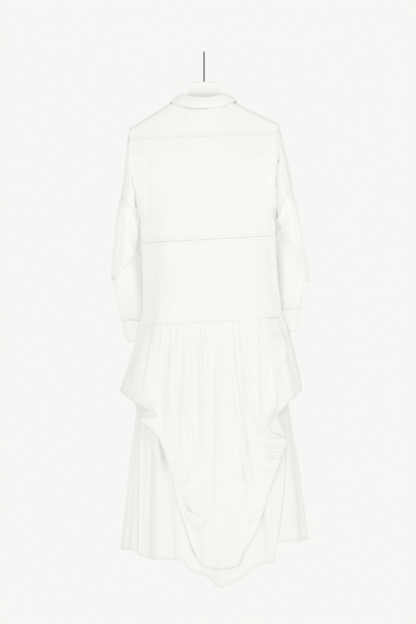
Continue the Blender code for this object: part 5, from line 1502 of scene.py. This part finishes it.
# %% The studio
BACKDROP = (0.922, 0.922, 0.905)
WORLD_LIGHT = 0.785
CAMERA_FAR, REFERENCE_Y = 9.0, 0.06
FRAME_HEIGHT = 1.7784   # metres of the dress's plane that the frame shows
FRAME_X, FRAME_Z = -0.0114, -0.7439
FLOOR_DROP, FLOOR_HALF, FLOOR_FADE = 2.05, 40.0, (0.2, 1.5)
FLOOR_PAINT, FLOOR_ROUGHNESS = (0.90, 0.90, 0.885), 0.9
LAMPS = (               # name, place, height that it aims at, side in metres and power in watts
    ("key_back", (-3.6, 3.2, 0.5), -0.9, 1.4, 12),
    ("fill_back", (0.5, 8.0, -0.4), -0.8, 2.0, 80),
    ("fill_front", (-0.5, -8.0, -0.4), -0.8, 2.0, 80),
    ("key_front", (3.6, -3.2, 0.5), -0.9, 1.4, 12))

scene = bpy.context.scene
scene.view_settings.view_transform = "Standard"
scene.world = bpy.data.worlds.new("studio")
scene.world.use_nodes = True
sky = scene.world.node_tree
backdrop = sky.nodes["Background"].inputs
backdrop["Color"].default_value = (*BACKDROP, 1)
seen = add_node(sky, "LightPath").outputs["Is Camera Ray"]
connect(sky, add_node(sky, "Mix", {0: seen, 2: WORLD_LIGHT, 3: 1.0}).outputs[0], backdrop["Strength"])

for name, place, aim_z, size, power in LAMPS:
    lamp = bpy.data.lights.new(name, "AREA")
    lamp.size, lamp.energy = size, power
    thing = bpy.data.objects.new(name, lamp)
    scene.collection.objects.link(thing)
    thing.location = place
    towards = Vector((0, 0, aim_z)) - Vector(place)
    thing.rotation_euler = towards.to_track_quat("-Z", "Y").to_euler()

# %% The floor
floor_mesh = bpy.data.meshes.new("floor")
square = ((-1, -1), (1, -1), (1, 1), (-1, 1))
corners = [(x * FLOOR_HALF, y * FLOOR_HALF, -FLOOR_DROP) for x, y in square]
floor_mesh.from_pydata(corners, [], [(0, 1, 2, 3)])
floor = bpy.data.objects.new("floor", floor_mesh)
scene.collection.objects.link(floor)
paint, tree, matt, place = new_material("studio_floor")
matt["Base Color"].default_value = (*FLOOR_PAINT, 1)
matt["Roughness"].default_value = FLOOR_ROUGHNESS
glow = add_node(tree, "Emission", {"Color": (*BACKDROP, 1)})
flat = add_node(tree, "VectorMath", {0: place["Object"], 1: (1, 1, 0)}, operation="MULTIPLY")
distance = add_node(tree, "VectorMath", {0: flat.outputs[0]}, operation="LENGTH")
fade = add_node(tree, "MapRange", {"From Min": FLOOR_FADE[0], "From Max": FLOOR_FADE[1],
                                   "Value": distance.outputs["Value"]}, interpolation_type="SMOOTHSTEP")
blend = add_node(tree, "MixShader", {0: fade.outputs["Result"], 2: glow.outputs[0],
                                     1: tree.nodes["Principled BSDF"].outputs[0]})
connect(tree, blend.outputs[0], tree.nodes["Material Output"].inputs["Surface"])
floor_mesh.materials.append(paint)

# %% The camera
lens = bpy.data.cameras.new("camera")
lens.sensor_width = 36.0
lens.lens = lens.sensor_width * (CAMERA_FAR - REFERENCE_Y) / FRAME_HEIGHT
camera = bpy.data.objects.new("camera", lens)
scene.collection.objects.link(camera)
camera.location = (FRAME_X, CAMERA_FAR, FRAME_Z)
camera.rotation_euler = (np.pi / 2, 0, np.pi)
bpy.context.scene.camera = camera
print(f"camera: {lens.lens:.0f} mm lens, {CAMERA_FAR} m behind the dress")
